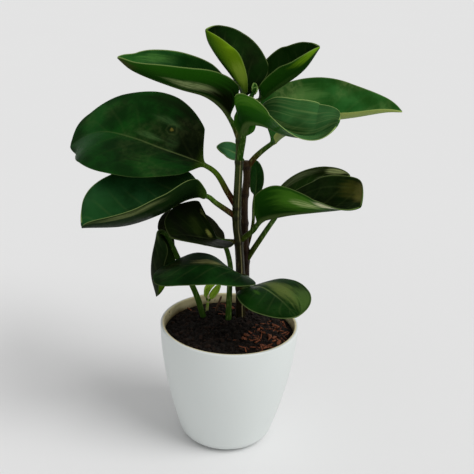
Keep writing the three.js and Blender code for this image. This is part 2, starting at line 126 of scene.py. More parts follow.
class PeperomiaSoilSettings(bpy.types.PropertyGroup):
    edge: length("Edge height", "Height of the surface at the pot's wall", 83 * MM)
    rise: length("Mound", "How much higher the soil stands round the stems", 3 * MM)
    gap: length("Gap", "Clearance between the soil and the pot", 0.3 * MM)
    crumbs: count("Crumbs", "Number of loose crumbs", 1300)
    chips: count("Bark chips", "Number of chips and fibres of bark", 90)
    soil: colour("Soil", "Moist potting soil", "#17100a")
    crumb: colour("Crumb", "Lighter crumbs", "#2f1d12")
    bark: colour("Bark", "Reddish bark chips", "#7a3d20")


class PeperomiaPlantSettings(bpy.types.PropertyGroup):
    half_blade: length("Half blade", "Half of a blade's thickness", 0.6 * MM)
    stalk: length("Stalk radius", "Radius of a leaf's stalk at its root", 2.2 * MM)
    rib: length("Rib reach", "Half width of the rib under a blade", 1.8 * MM)
    tip: length("Tip", "Half width of a blade at its very tip", 0.15 * MM)
    groove: length("Groove", "Depth of the groove along the midrib", 0.3 * MM)
    groove_reach: length("Groove reach", "Half width of that groove", 0.9 * MM)
    ripple: length("Ripple", "Height of the waves at a blade's margins", 0.12 * MM)
    bulge: length("Joint bulge", "How far a stem swells where a leaf leaves it", 0.5 * MM)
    joint_reach: length("Joint reach", "Half length of that swelling", 2.2 * MM)
    steps: count("Steps", "Cross-sections of a blade", 110)
    columns: count("Columns", "Points from one margin of a blade to the other", 45)
    gloss: share("Gloss", "Strength of the reflections on a leaf's upper side", 0.018)
    vein: colour("Veins", "Pale veins, midribs and margins", "#98ad66")
    bark: colour("Bark", "Brown of the old stem", "#211c0b")
    red_bark: colour("Red bark", "Red brown of the thinner stem", "#24100a")


class PeperomiaStageSettings(bpy.types.PropertyGroup):
    floor: colour("Floor", "Pale studio floor", "#e6e6e6")
    sky: share("Sky light", "Brightness of the even light from all round", 0.55, 4)
    key: share("Key light", "Strength of the soft light from the right", 1.8, 20)
    softness: bpy.props.FloatProperty(name="Softness", description="Angle that the key light fills",
                                      default=math.radians(38), subtype="ANGLE", unit="ROTATION")


SETTINGS = {"pot": PeperomiaPotSettings, "soil": PeperomiaSoilSettings, "plant": PeperomiaPlantSettings,
            "stage": PeperomiaStageSettings}


def settings(name):
    return getattr(bpy.context.scene, "peperomia_" + name)


# A stem's path, its radii along the path, and the heights of its joints.
STEMS = {
    "stem_main": dict(
        path=[[9, 21, 72], [8, 20, 89], [7, 16, 109], [6, 12, 130], [4, 9, 151], [2, 8, 167], [2, 8, 203],
              [2, 8, 231], [4, 9, 244], [6, 10, 252]],
        radius=[3.7, 3, 2.3], joints=[111, 122, 150, 169, 176, 209, 224, 245]),
    "stem_side": dict(
        path=[[12, 33, 74], [11, 30, 94], [10, 24, 128], [8, 21, 155], [7, 20, 178], [8, 20, 193],
              [7, 20, 206]],
        radius=[3.1, 2.8, 2.5], joints=[129, 138, 160, 182, 202]),
}

# Degrees about a stem from +X to its painted highlight, a pale line along the side towards the viewer
# and the key light.
PAINTED_HIGHLIGHT_TURN = 292

# Each leaf's spine starts on the axis of its stem or in the soil, and the blade opens at the share "blade"
# of it. The numbers are explained at leaf_grid, and what a row leaves out is in LEAF_SHAPE.
LEAVES = {
    "leaf_crown_left": dict(
        spine=[[4, 9, 245], [2, 6, 258], [-5, 2, 269], [-14, -3, 281], [-20, -8, 291], [-22, -14, 299]],
        blade=0.1, width=52, blunt=0.55, neck=0.18, lean=0.14, side=-2,
        up=[[0.6, -0.6, 0.5], [0.7, -0.4, 0.6], [0.7, -0.35, 0.6]], fold=[28, 30, 30], curl=[35, 38, 40]),
    "leaf_crown_right": dict(
        spine=[[5, 10, 248], [15, 13, 252], [23, 13, 258], [34, 12, 266], [43, 9, 275], [51, 5, 289]],
        blade=0.12, width=43, blunt=0.5, neck=0.18,
        up=[[-0.6, -0.25, 0.77], [-0.6, -0.3, 0.77], [-0.6, -0.4, 0.7]], fold=[35, 40, 35],
        curl=[30, 35, 30]),
    "leaf_upper_left": dict(
        spine=[[2, 8, 224], [-3, 8, 235], [-11, 6, 247], [-22, 2, 255], [-38, -3, 260], [-57, -8, 267],
               [-69, -12, 273], [-77, -14, 280]],
        blade=0.14, width=50, widest=0.42, blunt=0.65, neck=0.2, side=-6,
        up=[[0.3, 0.2, 1], [0.25, -0.22, 1], [0.25, -0.3, 1]], fold=[35, 35, 30], curl=[35, 35, 30]),
    "leaf_upper_right": dict(
        spine=[[7, 20, 201], [14, 22, 210], [23, 23, 218], [36, 22, 228], [56, 18, 237], [79, 12, 243],
               [98, 8, 248], [109, 6, 249]],
        blade=0.2, width=67, widest=0.34, blunt=0.85, neck=0.11, lean=-0.06,
        up=[[-0.14, -0.4, 1], [-0.14, -0.35, 1]], fold=[35, 30, 30], curl=[20, 20, 20]),
    "leaf_front_folded": dict(
        spine=[[2, 8, 209], [4, 2, 225], [6, -10, 239], [15, -22, 243], [30, -34, 240], [46, -44, 242],
               [60, -51, 252]],
        blade=0.21, width=53, widest=0.66, blunt=0.25, neck=0.05, lean=0.05,
        up=[[0.3, 0.3, 1], [0.2, -0.26, 1], [0.25, -0.3, 0.9]], fold=[40, 38, 2], curl=[30, 20, 5]),
    "leaf_large_left": dict(
        spine=[[2, 8, 176], [-5, 11, 186], [-15, 14, 200], [-32, 17, 207], [-54, 25, 212], [-74, 34, 216],
               [-95, 44, 217], [-111, 52, 211], [-123, 56, 202]],
        blade=0.23, width=84, widest=0.49, blunt=0.75, lean=0.02,
        up=[[-0.1, -0.6, 0.8], [-0.1, -0.55, 0.85], [-0.1, -0.5, 0.9]], fold=[22, 11, 6]),
    "leaf_middle_left": dict(
        spine=[[2, 8, 169], [-12, 6, 179], [-20, 4, 185], [-33, 1, 184], [-50, -6, 175], [-73, -14, 168],
               [-101, -22, 168]],
        blade=0.24, width=80, widest=0.46, blunt=0.34, neck=0.05, lean=-0.16, side=8,
        up=[[-0.15, 0, 1], [-0.3, -0.05, 0.95], [-0.5, -0.1, 0.85]], fold=[33, 32, 27], curl=[20, 20, 20]),
    "leaf_lower_left": dict(
        spine=[[4, 9, 150], [-5, 5, 152], [-16, -4, 156], [-27, -13, 161], [-35, -22, 165],
               [-41, -31, 167]],
        stalk=1.7, blade=0.24, width=62, widest=0.36, blunt=0.7, neck=0.22, lean=0.08, side=5,
        up=[[0.1, -0.15, 1], [0.1, -0.2, 0.9]], fold=[30, 18, 10], curl=[10, 5, 5]),
    "leaf_low_front": dict(
        spine=[[6, 13, 122], [11, 3, 125], [9, -9, 131], [0, -18, 139], [-15, -23, 145], [-32, -25, 144],
               [-53, -22, 135]],
        blade=0.2, width=43, widest=0.53, blunt=0.4, neck=0.15, up=[[0, -0.1, 1], [0, -0.15, 1]],
        fold=[0, -5, -5], curl=[0, -5, 0]),
    "leaf_low_right": dict(
        spine=[[7, 16, 111], [13, 3, 117], [22, -11, 124], [34, -30, 124], [44, -48, 121]],
        blade=0.22, width=49, neck=0.1, up=[[0, -0.1, 1], [0, -0.3, 1]], fold=[5, 0, 0]),
    "leaf_right_near": dict(
        spine=[[4, 9, 150], [13, 7, 159], [20, 1, 170], [35, -8, 178], [51, -18, 184], [66, -26, 189],
               [80, -41, 197]],
        blade=0.2, width=51, widest=0.6, blunt=0.38, lean=0.1, side=-6,
        up=[[0.15, 0.5, 0.85], [0.15, 0.05, 1], [0.1, -0.5, 0.85]], fold=[53, 39, 13], curl=[20, 25, 25]),
    "leaf_right_far": dict(
        spine=[[10, 24, 129], [18, 21, 145], [28, 24, 161], [39, 28, 176], [57, 30, 187], [82, 30, 196]],
        blade=0.4, width=28, up=[[0, -0.2, 1], [0, -0.3, 1]], fold=[30, 30, 25], curl=[20, 20, 20]),
    "leaf_small_back": dict(
        spine=[[10, 23, 137], [14, 26, 157], [14, 28, 172], [15, 29, 183], [15, 29, 193], [14, 28, 205]],
        stalk=1.2, blade=0.6, width=11, neck=0.15, up=[[0.1, -1, 0.2], [0.1, -1, 0.2]], fold=[20, 20, 10]),
    "leaf_small_mid": dict(
        spine=[[7, 20, 203], [3, 21, 209], [-5, 22, 213], [-14, 20, 216]],
        stalk=1.2, blade=0.2, width=13, widest=0.45, blunt=0.7, neck=0.15,
        up=[[0, -0.8, 0.8], [0, -0.8, 0.8]], fold=[10, 10, 10]),
    "leaf_drooping": dict(
        spine=[[-16, 21, 73], [-19, 20, 81], [-24, 18, 99], [-30, 15, 115], [-38, 12, 132], [-44, 9, 147],
               [-49, 6, 156], [-53, 6, 156], [-55, 6, 148], [-57, 4, 136], [-57, 3, 123], [-53, 0, 109]],
        blade=0.62, width=35, widest=0.48, neck=0.18, side=-28,
        up=[[-0.3, -0.3, 1], [-1, -0.2, 0.1], [-1, -0.2, 0.1]], fold=[-40, -46, -30], curl=[-10, -10, -10]),
    "leaf_shaded": dict(
        spine=[[-1, 13, 74], [-1, 14, 87], [-1, 18, 108], [-1, 22, 125], [-6, 25, 141], [-15, 26, 148],
               [-28, 26, 155], [-42, 24, 158], [-54, 20, 152]],
        blade=0.55, width=32, widest=0.55, blunt=0.55, up=[[0, -0.4, 1], [-0.2, -0.4, 1]], fold=[0, 0, 0]),
}
LEAF_SHAPE = dict(widest=0.5, blunt=0.6, neck=0.12, lean=0, side=0, curl=[0, 0, 0])

# What each leaf looks like, explained at leaf_material. What a row leaves out is in LOOK_DEFAULTS.
LOOKS = {
    # The bright yellow-green of its underside towards the margin, and the pale patch there, are painted
    # light shining through the blade.
    "leaf_crown_left": dict(
        slot="leaf_fresh", upper=["#0d1c06", "#13300a"], lower=["#385c0f", "#648410"],
        above=[[0.85, -0.3, 0.2, 0.4, "#2c4a1c", 0.5]],
        below=[[0.5, 0, 0.5, 0.4, "#2c4a10", 0.8], [0.1, -0.5, 0.25, 0.6, "#3a5c0e", 0.7],
               [0.42, -0.8, 0.25, 0.35, "#8ca43c", 0.55]]),
    # The bright yellow-green patch at the tip of its underside is painted light shining through the blade.
    "leaf_crown_right": dict(
        slot="leaf_fresh", upper=["#123006", "#0e2404"], lower=["#16380a", "#1f4a0c"], rim=0.4,
        above=[[0.5, 0, 0.4, 0.2, "#3a5a20", 0.5]],
        below=[[1, 0.7, 0.35, 0.35, "#6f9a18", 0.85], [0.4, 0.2, 0.3, 0.2, "#4a6a30", 0.4]]),
    "leaf_upper_left": dict(
        slot="leaf_fresh", upper=["#123c14", "#2a5c20"], lower=["#133008", "#235010"], rim=0.6, keel=0.3,
        root="#3a2c12",
        above=[[0.3, 0.8, 0.35, 0.6, "#0f2c08", 0.8], [0.75, 0.7, 0.2, 0.2, "#4f8038", 0.6]],
        below=[[0.42, -0.36, 0.24, 0.2, "#96a56e", 0.95], [0.1, -0.4, 0.3, 0.7, "#0c1204", 1],
               [0.5, -0.8, 0.3, 0.3, "#1c4a08", 0.7], [0.97, -0.3, 0.12, 0.6, "#3a3a1c", 0.7]]),
    # Its strong pale mottling is painted sheen: whitish flecks that stand in for the gloss on its upper
    # side.
    "leaf_upper_right": dict(
        upper=["#225018", "#357030"], lower=["#5a7a2c", "#9aa858"], rim=0.35, keel=0.3, sheen_mottle=0.8,
        stalk="#2f4a14", root="#3a280f",
        above=[[0.3, -0.6, 0.18, 0.3, "#5c8a44", 0.75], [0.15, -0.9, 0.2, 0.3, "#1c4414", 0.7],
               [0.5, -1, 0.5, 0.12, "#1c4418", 0.7], [0.6, -0.3, 0.3, 0.15, "#1f5a20", 0.6]],
        below=[[0.2, 0.7, 0.15, 0.4, "#7a8450", 0.7], [0.8, 0.6, 0.3, 0.5, "#8a9a54", 0.6]]),
    # The light grey-green of its upper side is partly the leaf's own green and partly painted reflection of
    # the soft light from above and in front.
    "leaf_front_folded": dict(
        slot="leaf_fresh", upper=["#24481f", "#33602f"], lower=["#18440a", "#24580c"], rim=0.9, keel=0.3,
        arcs=0.6, root="#24480f",
        above=[[0.55, -0.1, 0.25, 0.3, "#12340a", 0.9], [0.3, -0.5, 0.15, 0.5, "#1c3814", 0.7],
               [0.8, -0.6, 0.2, 0.4, "#3a6a38", 0.6]],
        below=[[0.3, 0.85, 0.25, 0.25, "#4c7c24", 0.7], [0.1, 0.2, 0.2, 0.6, "#12300a", 0.8]]),
    # The first two patches of its upper side darken the part near the base and the last one lightens the
    # tip: partly the leaf's own tone and partly painted shade and light. Its three small grey-green patches
    # and its mottling are painted sheen.
    "leaf_large_left": dict(
        upper=["#0b2a08", "#124210"], lower=["#12300c", "#24501a"], rim=0.1, rib=0.25, veins=0.05,
        sheen_mottle=0.15, blemish=[0.3, 0.41], stalk="#4a6a14", root="#3a1a10",
        above=[[0.1, 0.5, 0.34, 1.1, "#0b1405", 1], [0.35, 0.95, 0.3, 0.3, "#0d1a06", 0.8],
               [0.41, 0.14, 0.1, 0.07, "#4e7440", 0.5], [0.34, 0.52, 0.12, 0.1, "#3a5c30", 0.55],
               [0.26, 0.17, 0.05, 0.25, "#35552c", 0.4], [0.42, -0.5, 0.12, 0.2, "#0c2206", 0.7],
               [0.85, -0.3, 0.2, 0.4, "#17481a", 0.6]]),
    "leaf_middle_left": dict(
        upper=["#102e10", "#1b4420"], lower=["#0f200a", "#152a0e"], rim=0.6, keel=0.2, stalk="#3f6418",
        root="#3a2010",
        above=[[0.85, 0.4, 0.25, 0.5, "#1d4a20", 0.6], [0.15, 0.6, 0.25, 0.8, "#12280a", 0.8]],
        below=[[0.65, -0.85, 0.35, 0.15, "#6a7448", 0.8], [0.5, -0.45, 0.3, 0.12, "#28361c", 0.6]]),
    # The two small yellowish patches near the base of its upper side are painted highlight, the gloss on the
    # veins there.
    "leaf_lower_left": dict(
        upper=["#0b1005", "#101c06"], lower=["#0b1006", "#101808"], rim=0.12, rib=0.06, veins=0.04,
        sheen_mottle=0, gloss=0.2,
        above=[[0.19, 0.16, 0.06, 0.12, "#868c44", 0.8], [0.2, 0.72, 0.06, 0.12, "#5c6434", 0.6],
               [0.4, 0.3, 0.1, 0.4, "#24300f", 0.5]]),
    "leaf_low_front": dict(
        upper=["#0b2009", "#133611"], lower=["#0c1608", "#141f0c"], rim=0.2, gloss=0.4,
        above=[[0.5, 0.2, 0.16, 0.2, "#9a9a5c", 0.9], [0.8, 0.4, 0.2, 0.4, "#1c1c0a", 0.6],
               [0.85, -0.3, 0.12, 0.3, "#24461c", 0.5]]),
    # The two large pale patches of its upper side are painted light on the half that faces the key light.
    "leaf_low_right": dict(
        upper=["#0b2206", "#12340c"], rib=0.4,
        above=[[0.45, -0.35, 0.45, 0.3, "#5e6e34", 0.95], [0.75, -0.7, 0.3, 0.4, "#46602a", 0.8],
               [0.35, 0.35, 0.1, 0.1, "#4a7a24", 0.5]]),
    "leaf_right_near": dict(
        slot="leaf_fresh", upper=["#0e1a06", "#13260a"], lower=["#123008", "#1f4a0c"], rim=0.35, rib=0.2,
        keel=0.3, arcs=0.1, root="#33400f",
        above=[[0.94, -0.6, 0.08, 0.4, "#84803e", 0.75], [0.86, -0.62, 0.14, 0.36, "#4c4e1e", 0.7]],
        below=[[0.5, 0.55, 0.3, 0.45, "#4a7a22", 0.8], [0.56, 0.5, 0.14, 0.2, "#a8b878", 0.9],
               [0.8, 0.7, 0.16, 0.29, "#dfe0b4", 0.95]]),
    "leaf_right_far": dict(
        upper=["#151f08", "#1d3410"], lower=["#142c10", "#2c5a1a"], rim=0.25, root="#33400f",
        above=[[0.67, -0.2, 0.12, 0.2, "#a4ae80", 0.9], [0.87, -0.65, 0.14, 0.29, "#a4ae74", 0.9],
               [0.45, -0.8, 0.3, 0.2, "#6a7450", 0.6]]),
    "leaf_small_back": dict(upper=["#0f2a0c", "#1a4414"], rim=0.2),
    "leaf_small_mid": dict(
        slot="leaf_fresh", upper=["#1f4422", "#33643a"], rim=0.5, rib=0.3, root="#2f5a20"),
    "leaf_drooping": dict(
        slot="leaf_fresh", upper=["#0b1606", "#13260c"], lower=["#0f1c08", "#1e300e"], rim=0.15, gloss=0.3,
        root="#34521a",
        above=[[0.12, -0.2, 0.12, 0.3, "#3a4a24", 0.6]],
        below=[[0.86, 0.6, 0.14, 0.5, "#6c9a20", 0.85]]),
    "leaf_shaded": dict(
        upper=["#0e1206", "#1c1e0c"], lower=["#0c1408", "#141f0c"], rim=0.05, root="#34521a"),
}
LOOK_DEFAULTS = dict(slot="leaf_deep", lower=["#10200c", "#1a3414"], rim=0.3, rib=0.1, keel=0.1, veins=0.1,
                     arcs=0, sheen_mottle=0.05, gloss=1, blemish=None, stalk="#2c4a14", root="#30260f", above=[],
                     below=[])

# The bud and the sprout have a foot and two leaflets, each with a spine and an upper direction.
LEAFLET = dict(stalk=0.8, blade=0.15, neck=0.2, fold=[30, 30, 25], curl=[10, 10, 10])
GROWTH = {
    "bud_crown": dict(
        foot=[[7.6, 7.4, 252.4], [9.2, 5.2, 257.5]], radius=[1.6, 1.6, 1.2], width=5,
        leaflets=[[[9.2, 5.2, 256], [10.6, 4, 258.5], [12, 3, 261.5]],
                  [[9.2, 5.2, 256], [9.7, 5.4, 260], [10, 5.5, 264]]],
        up=[[-0.3, -0.7, 0.5], [0.3, -0.8, 0.4]], slot="leaf_fresh",
        upper=["#2c6418", "#4c8a2c"], lower=["#2c6418", "#5c9a34"], root="#2c5418"),
    # The sprout's yellow-green is partly its own and partly painted light: it is made brighter to make up
    # for the shade it stands in.
    "shoot_soil": dict(
        foot=[[-19, 29, 75], [-17.5, 28, 86], [-17, 27, 95]], radius=[1.2, 1.1, 1], width=6.5,
        leaflets=[[[-17, 27, 93], [-19, 26, 101], [-17, 25, 107], [-11, 25, 111]],
                  [[-17, 27, 93], [-14, 26, 98], [-11, 25, 103], [-8, 25, 109]]],
        up=[[0.5, -0.7, 0.4], [-0.3, -0.8, 0.5]], slot="sprout",
        upper=["#86b428", "#b4d848"], lower=["#86b428", "#b4d848"], root="#c0b488"),
}
TWIG = dict(foot=[[-12, 29, 78], [-10, 27, 88], [-7, 25, 99]], radius=[1, 0.9, 0.7])


def smooth(x, low=0.0, high=1.0):
    """0 below low, 1 above high, and between them 3x^2 - 2x^3 of the share x of the way."""
    x = np.clip((x - low) / (high - low), 0, 1)
    return x * x * (3 - 2 * x)


def between(values, t):
    """A line through two values, or the parabola through three, as t goes from 0 to 1."""
    values = np.asarray(values, float)
    t = np.asarray(t, float).reshape((-1,) + (1,) * (values.ndim - 1))
    if len(values) == 2:
        return values[0] * (1 - t) + values[1] * t
    return values[0] * (1 - t) * (1 - 2 * t) + 4 * values[1] * t * (1 - t) + values[2] * t * (2 * t - 1)


def unit(vectors):
    return vectors / np.linalg.norm(vectors, axis=-1, keepdims=True)


def curve_through(points, shares):
    """Points at shares of the length of a smooth curve through the given points, and its tangents there.

    Between two points the curve is the cubic whose slope at each end is half the step between that end's
    two neighbours. The path's ends are mirrored for their missing neighbour. The length is summed over fine
    steps, and a share of it is looked up there.
    """
    knots = np.array(points, float)
    knots = np.vstack([2 * knots[0] - knots[1], knots, 2 * knots[-1] - knots[-2]])

    def place(u):
        i = np.clip(u.astype(int), 0, len(knots) - 4)
        x = (u - i)[:, None]
        a, b, c, d = (knots[i + k] for k in range(4))
        square, cube = a - 2.5 * b + 2 * c - d / 2, 1.5 * (b - c) + (d - a) / 2
        return b + (c - a) / 2 * x + square * x ** 2 + cube * x ** 3

    fine = np.linspace(0, len(points) - 1, 80 * len(points))
    walked = np.append(0, np.cumsum(np.linalg.norm(np.diff(place(fine), axis=0), axis=1)))
    u = np.interp(np.asarray(shares) * walked[-1], walked, fine)
    ahead, behind = np.clip(u + 0.01, 0, len(points) - 1), np.clip(u - 0.01, 0, len(points) - 1)
    return place(u), unit(place(ahead) - place(behind))


def grain(x, y, size, seed):
    """Smooth random heights from -1 to 1: seeded numbers on a grid of the given size, blended by smooth."""
    table = np.random.default_rng(seed).uniform(-1, 1, (64, 64))
    x, y = x / size, y / size
    i, j = np.floor(x).astype(int), np.floor(y).astype(int)
    a, b = smooth(x - i), smooth(y - j)
    near = table[i % 64, j % 64] * (1 - a) + table[(i + 1) % 64, j % 64] * a
    far = table[i % 64, (j + 1) % 64] * (1 - a) + table[(i + 1) % 64, (j + 1) % 64] * a
    return near * (1 - b) + far * b


def shell(rings, start, end, **values):
    """A closed shell from m rings of k points: quads between neighbouring rings, and a fan over each end.

    Its faces are turned outwards: the sum over its triangles of corner . (next corner x last corner) is six
    times the volume, and where that is negative the corners run the other way round. Each end takes the mean
    of its ring's values.
    """
    m, k = rings.shape[:2]
    points = np.vstack([rings.reshape(-1, 3), start, end])
    i, j = np.meshgrid(np.arange(m - 1), np.arange(k), indexing="ij")
    a, b = i * k + j, i * k + (j + 1) % k
    quads = np.stack([a, b, b + k, a + k], -1).reshape(-1, 4)
    turn = np.arange(k)
    first = np.stack([np.full(k, m * k), (turn + 1) % k, turn], -1)
    last = np.stack([np.full(k, m * k + 1), (m - 1) * k + turn, (m - 1) * k + (turn + 1) % k], -1)
    fans = np.vstack([first, last])
    halves = np.vstack([quads[:, :3], quads[:, [0, 2, 3]], fans])
    p, q, r = (points[halves[:, c]] for c in range(3))
    if np.einsum("ij,ij->", p, np.cross(q, r)) < 0:
        quads, fans = quads[:, ::-1], fans[:, ::-1]
    for name in values:
        value = values[name].ravel()
        values[name] = np.append(value, [value[:k].mean(), value[-k:].mean()])
    return {"points": points, "quads": quads, "fans": fans, "values": values}


def build(name, shells, material, node):
    """One mesh piece from closed shells in millimetres, with their values as attributes of its points.

    It rides on the root body, stands for the CAD node, and is kept inside that node's box.
    """
    shells = shells if isinstance(shells, list) else [shells]
    starts = np.cumsum([0] + [len(s["points"]) for s in shells])
    low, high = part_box(node)
    points = np.clip(np.vstack([s["points"] for s in shells]) * MM, low, high)
    quads = np.vstack([s["quads"] + start for s, start in zip(shells, starts)])
    fans = np.vstack([s["fans"] + start for s, start in zip(shells, starts)])
    mesh = bpy.data.meshes.new(name)
    mesh.vertices.add(len(points))
    mesh.vertices.foreach_set("co", points.ravel())
    corners = np.concatenate([quads.ravel(), fans.ravel()])
    mesh.loops.add(len(corners))
    mesh.loops.foreach_set("vertex_index", corners)
    mesh.polygons.add(len(quads) + len(fans))
    first = np.concatenate([4 * np.arange(len(quads)), 4 * len(quads) + 3 * np.arange(len(fans))])
    mesh.polygons.foreach_set("loop_start", first)
    mesh.polygons.foreach_set("use_smooth", np.ones(len(first), bool))
    for key in shells[0]["values"]:
        value = np.concatenate([s["values"][key] for s in shells])
        mesh.attributes.new(key, "FLOAT", "POINT").data.foreach_set("value", value.astype(np.float32))
    mesh.update(calc_edges=True)
    if mesh.validate():
        raise RuntimeError(f"the mesh of {name} wasn't valid")
    mesh.materials.append(material)
    piece = bpy.data.objects.new(name, mesh)
    bpy.context.scene.collection.objects.link(piece)
    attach(piece, "root")
    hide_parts(node)


def arithmetic(operation):
    """A method that adds the math node of an operation."""
    return lambda value, other=0.0: value.shader.math(operation, value, other)


class Value:
    """A node's output. Arithmetic with it adds a math node to its material."""
    __add__ = arithmetic("ADD")
    __sub__ = arithmetic("SUBTRACT")
    __mul__ = arithmetic("MULTIPLY")
    __truediv__ = arithmetic("DIVIDE")
    __pow__ = arithmetic("POWER")
    __abs__ = arithmetic("ABSOLUTE")

    def __init__(self, shader, socket):
        self.shader = shader
        self.socket = socket


class Shader:
    """A material under construction. Its methods add nodes and give their output as a Value."""

    def __init__(self, name):
        self.material = bpy.data.materials.new(name)
        self.material.use_nodes = True
        self.tree = self.material.node_tree
        self.surface = self.tree.nodes["Principled BSDF"]

    def put(self, socket, value):
        """Links a Value to an input, or sets the input to a number, a vector or a colour without alpha."""
        if isinstance(value, Value):
            self.tree.links.new(value.socket, socket)
        elif socket.type == "RGBA":
            socket.default_value = (*value, 1)
        else:
            socket.default_value = value

    def finish(self, **inputs):
        """Sets or links the surface's inputs, named in small letters with underscores."""
        for name, value in inputs.items():
            title = " ".join(word if word == "IOR" else word.capitalize() for word in name.split("_"))
            self.put(self.surface.inputs[title], value)
        return self.material

    def node(self, kind, output, inputs, **options):
        node = self.tree.nodes.new("ShaderNode" + kind)
        for name, value in options.items():
            setattr(node, name, value)
        for key, value in inputs.items():
            self.put(node.inputs[key], value)
        return Value(self, node.outputs[output])

    def value(self, name):
        """A value that the mesh has at each point."""
        return self.node("Attribute", "Fac", {}, attribute_name=name)

    def place(self, scale=(1, 1, 1)):
        """The point on the piece, stretched by scale."""
        where = self.node("TexCoord", "Object", {})
        return self.node("Mapping", "Vector", {"Vector": where, "Scale": scale})

    def point(self, x, y):
        return self.node("CombineXYZ", "Vector", {"X": x, "Y": y})

    def noise(self, vector, scale, detail=3.0, roughness=0.5):
        inputs = {"Vector": vector, "Scale": scale, "Detail": detail, "Roughness": roughness}
        return self.node("TexNoise", "Fac", inputs)

    def math(self, operation, a, b=0.0):
        return self.node("Math", "Value", {0: a, 1: b}, operation=operation)

    def distance(self, x, y):
        return self.math("SQRT", x * x + y * y)

    def band(self, value, low, high, out_low=0.0, out_high=1.0):
        """out_low below low and out_high above high, with a smooth step between."""
        inputs = dict(enumerate((value, low, high, out_low, out_high)))
        return self.node("MapRange", "Result", inputs, interpolation_type="SMOOTHSTEP")

    def mix(self, factor, a, b):
        """The colour between a and b. A mix node's colours are its inputs 6 and 7 and its output 2."""
        return self.node("Mix", 2, {0: factor, 6: a, 7: b}, data_type="RGBA")

    def bump(self, height, distance, strength=1.0):
        return self.node("Bump", "Normal", {"Height": height, "Distance": distance, "Strength": strength})


def leaf_material(name, look):
    """The finish of one leaf, worked out from where a point lies on it.

    "along" is 0 where the blade starts and 1 at the tip, and negative on the stalk; "across" is 0 at the
    midrib and -1 and 1 at the margins; "reach" is the half width there in millimetres; "upper" is 1 on the
    upper side. upper and lower each hold two colours: dark and light parts of the upper side, and the
    underside's midrib and margin. rib, keel and rim say how pale the midrib above, the rib below and the
    margin are. veins is the strength of the side veins, arcs that of veins that run from end to end, mottle
    that of the painted sheen, pale flecks that stand in for gloss highlights, and gloss is the leaf's share
    of the plant's gloss. above and below list the patches of the two sides. Each is a soft streaky ellipse:
    its middle along and across, half its length and half its width in those shares, its colour and its
    strength.
    The narrow ones are broken into flecks. Some patches are the leaf's own marks and some are painted light:
    painted sheen and highlights, painted shade, and painted light through the blade. blemish is the middle
    of a worn spot, stalk the stalk's colour at the blade, and root that at the stem.
    """
    plant = settings("plant")
    vein = plant.vein
    s = Shader(name)
    along, across, reach, upper = (s.value(key) for key in ("along", "across", "reach", "upper"))
    side = abs(across)
    offset = side * reach
    space = s.place()
    cloud = s.noise(space, 45, 4, 0.55)
    speck = s.noise(space, 260, 3, 0.6)
    streak = s.noise(s.point(across * 4, along * 1.2), 2.2, 4, 0.6)
    flecks = s.band(s.noise(s.point(across * 16, along * 5), 1, 4, 0.7), 0.36, 0.6, 0.3, 1)

    def patched(base, patches):
        for along_at, across_at, half_length, half_width, code, strength in patches:
            away = s.distance((along - along_at) / half_length, (across - across_at) / half_width)
            factor = s.band(away + (streak - 0.5) * 1.4, 1.15, 0.3, 0, strength)
            if half_width < NARROW_PATCH:
                factor = factor * flecks
            base = s.mix(factor, base, linear(code))
        return base

    dark, light = (linear(code) for code in look["upper"])
    above = patched(s.mix(s.band(cloud, 0.38, 0.66), dark, light), look["above"])
    # Painted sheen: pale flecks on the upper side that stand in for gloss highlights.
    painted_sheen = s.band(s.noise(space, 30, 2), 0.45, 0.62) * s.band(speck, 0.42, 0.62, 0.3, 1)
    above = s.mix(painted_sheen * (0.3 * look["sheen_mottle"]), above, vein)
    bend = (s.noise(space, 22, 2) - 0.5) * 0.12
    wave = s.math("FRACT", (along - side ** 0.8 * 0.3 + bend) * SIDE_VEINS)
    side_vein = s.band(abs(wave - 0.5), 0, 0.14, 1, 0) * s.band(side, 0.9, 0.35)
    above = s.mix(side_vein * (0.3 * look["veins"]), above, vein)
    if look["arcs"]:
        lines = s.noise(s.point(across * 9, along * 0.8), 1, 2, 0.7)
        above = s.mix(s.band(lines, 0.5, 0.7) * (0.3 * look["arcs"]), above, vein)
    midrib = s.band(offset, 1, 0.2) * s.band(along, 0.9, 0.1, 0.08, 1)
    above = s.mix(midrib * look["rib"], above, vein)

    inner, outer = (linear(code) for code in look["lower"])
    below = s.mix(s.band(side, 0.1, 1), inner, outer)
    below = patched(s.mix(s.band(cloud, 0.35, 0.7, 0, 0.35), below, inner), look["below"])
    keel = s.band(offset, 3.2, 0.8) * s.band(along, 1, 0.2, 0.3, 1)
    below = s.mix(keel * (0.5 * look["keel"]), below, vein)

    both = s.mix(s.band(upper, 0.4, 0.6), below, above)
    margin = s.band(reach - offset, 0.9, 0.2) * s.band(along, 0, 0.12)
    both = s.mix(margin * (0.8 * look["rim"]), both, vein)
    if look["blemish"]:
        along_at, across_at = look["blemish"]
        away = s.distance((along - along_at) * BLEMISHED_BLADE, (across - across_at) * reach)
        ragged = away + (speck - 0.5) * 5
        both = s.mix(s.band(ragged, 2, 0.4, 0, 0.8), both, linear("#7a7030"))
        both = s.mix(s.band(abs(ragged - 4), 0.9, 0.1, 0, 0.05), both, vein)

    fibre = s.noise(s.place((1, 1, 0.15)), 900, 2, 0.6)
    stalk = s.mix(s.band(along, -0.8, -0.1), linear(look["root"]), linear(look["stalk"]))
    stalk = s.mix(s.band(fibre, 0.5, 0.72, 0, 0.3), stalk, vein)
    both = s.mix(s.band(along, -0.02, 0.1), stalk, both)

    relief = cloud * 0.6 + speck * 0.12 - side_vein * (0.3 * look["veins"]) - midrib * 0.3
    gloss = plant.gloss * look["gloss"]
    return s.finish(base_color=both, roughness=s.band(speck, 0.3, 0.7, 0.26, 0.4),
                    specular_IOR_level=s.band(upper, 0.4, 0.6, UNDERSIDE_GLOSS * gloss, gloss),
                    normal=s.bump(relief, 0.6 * MM, 0.6))


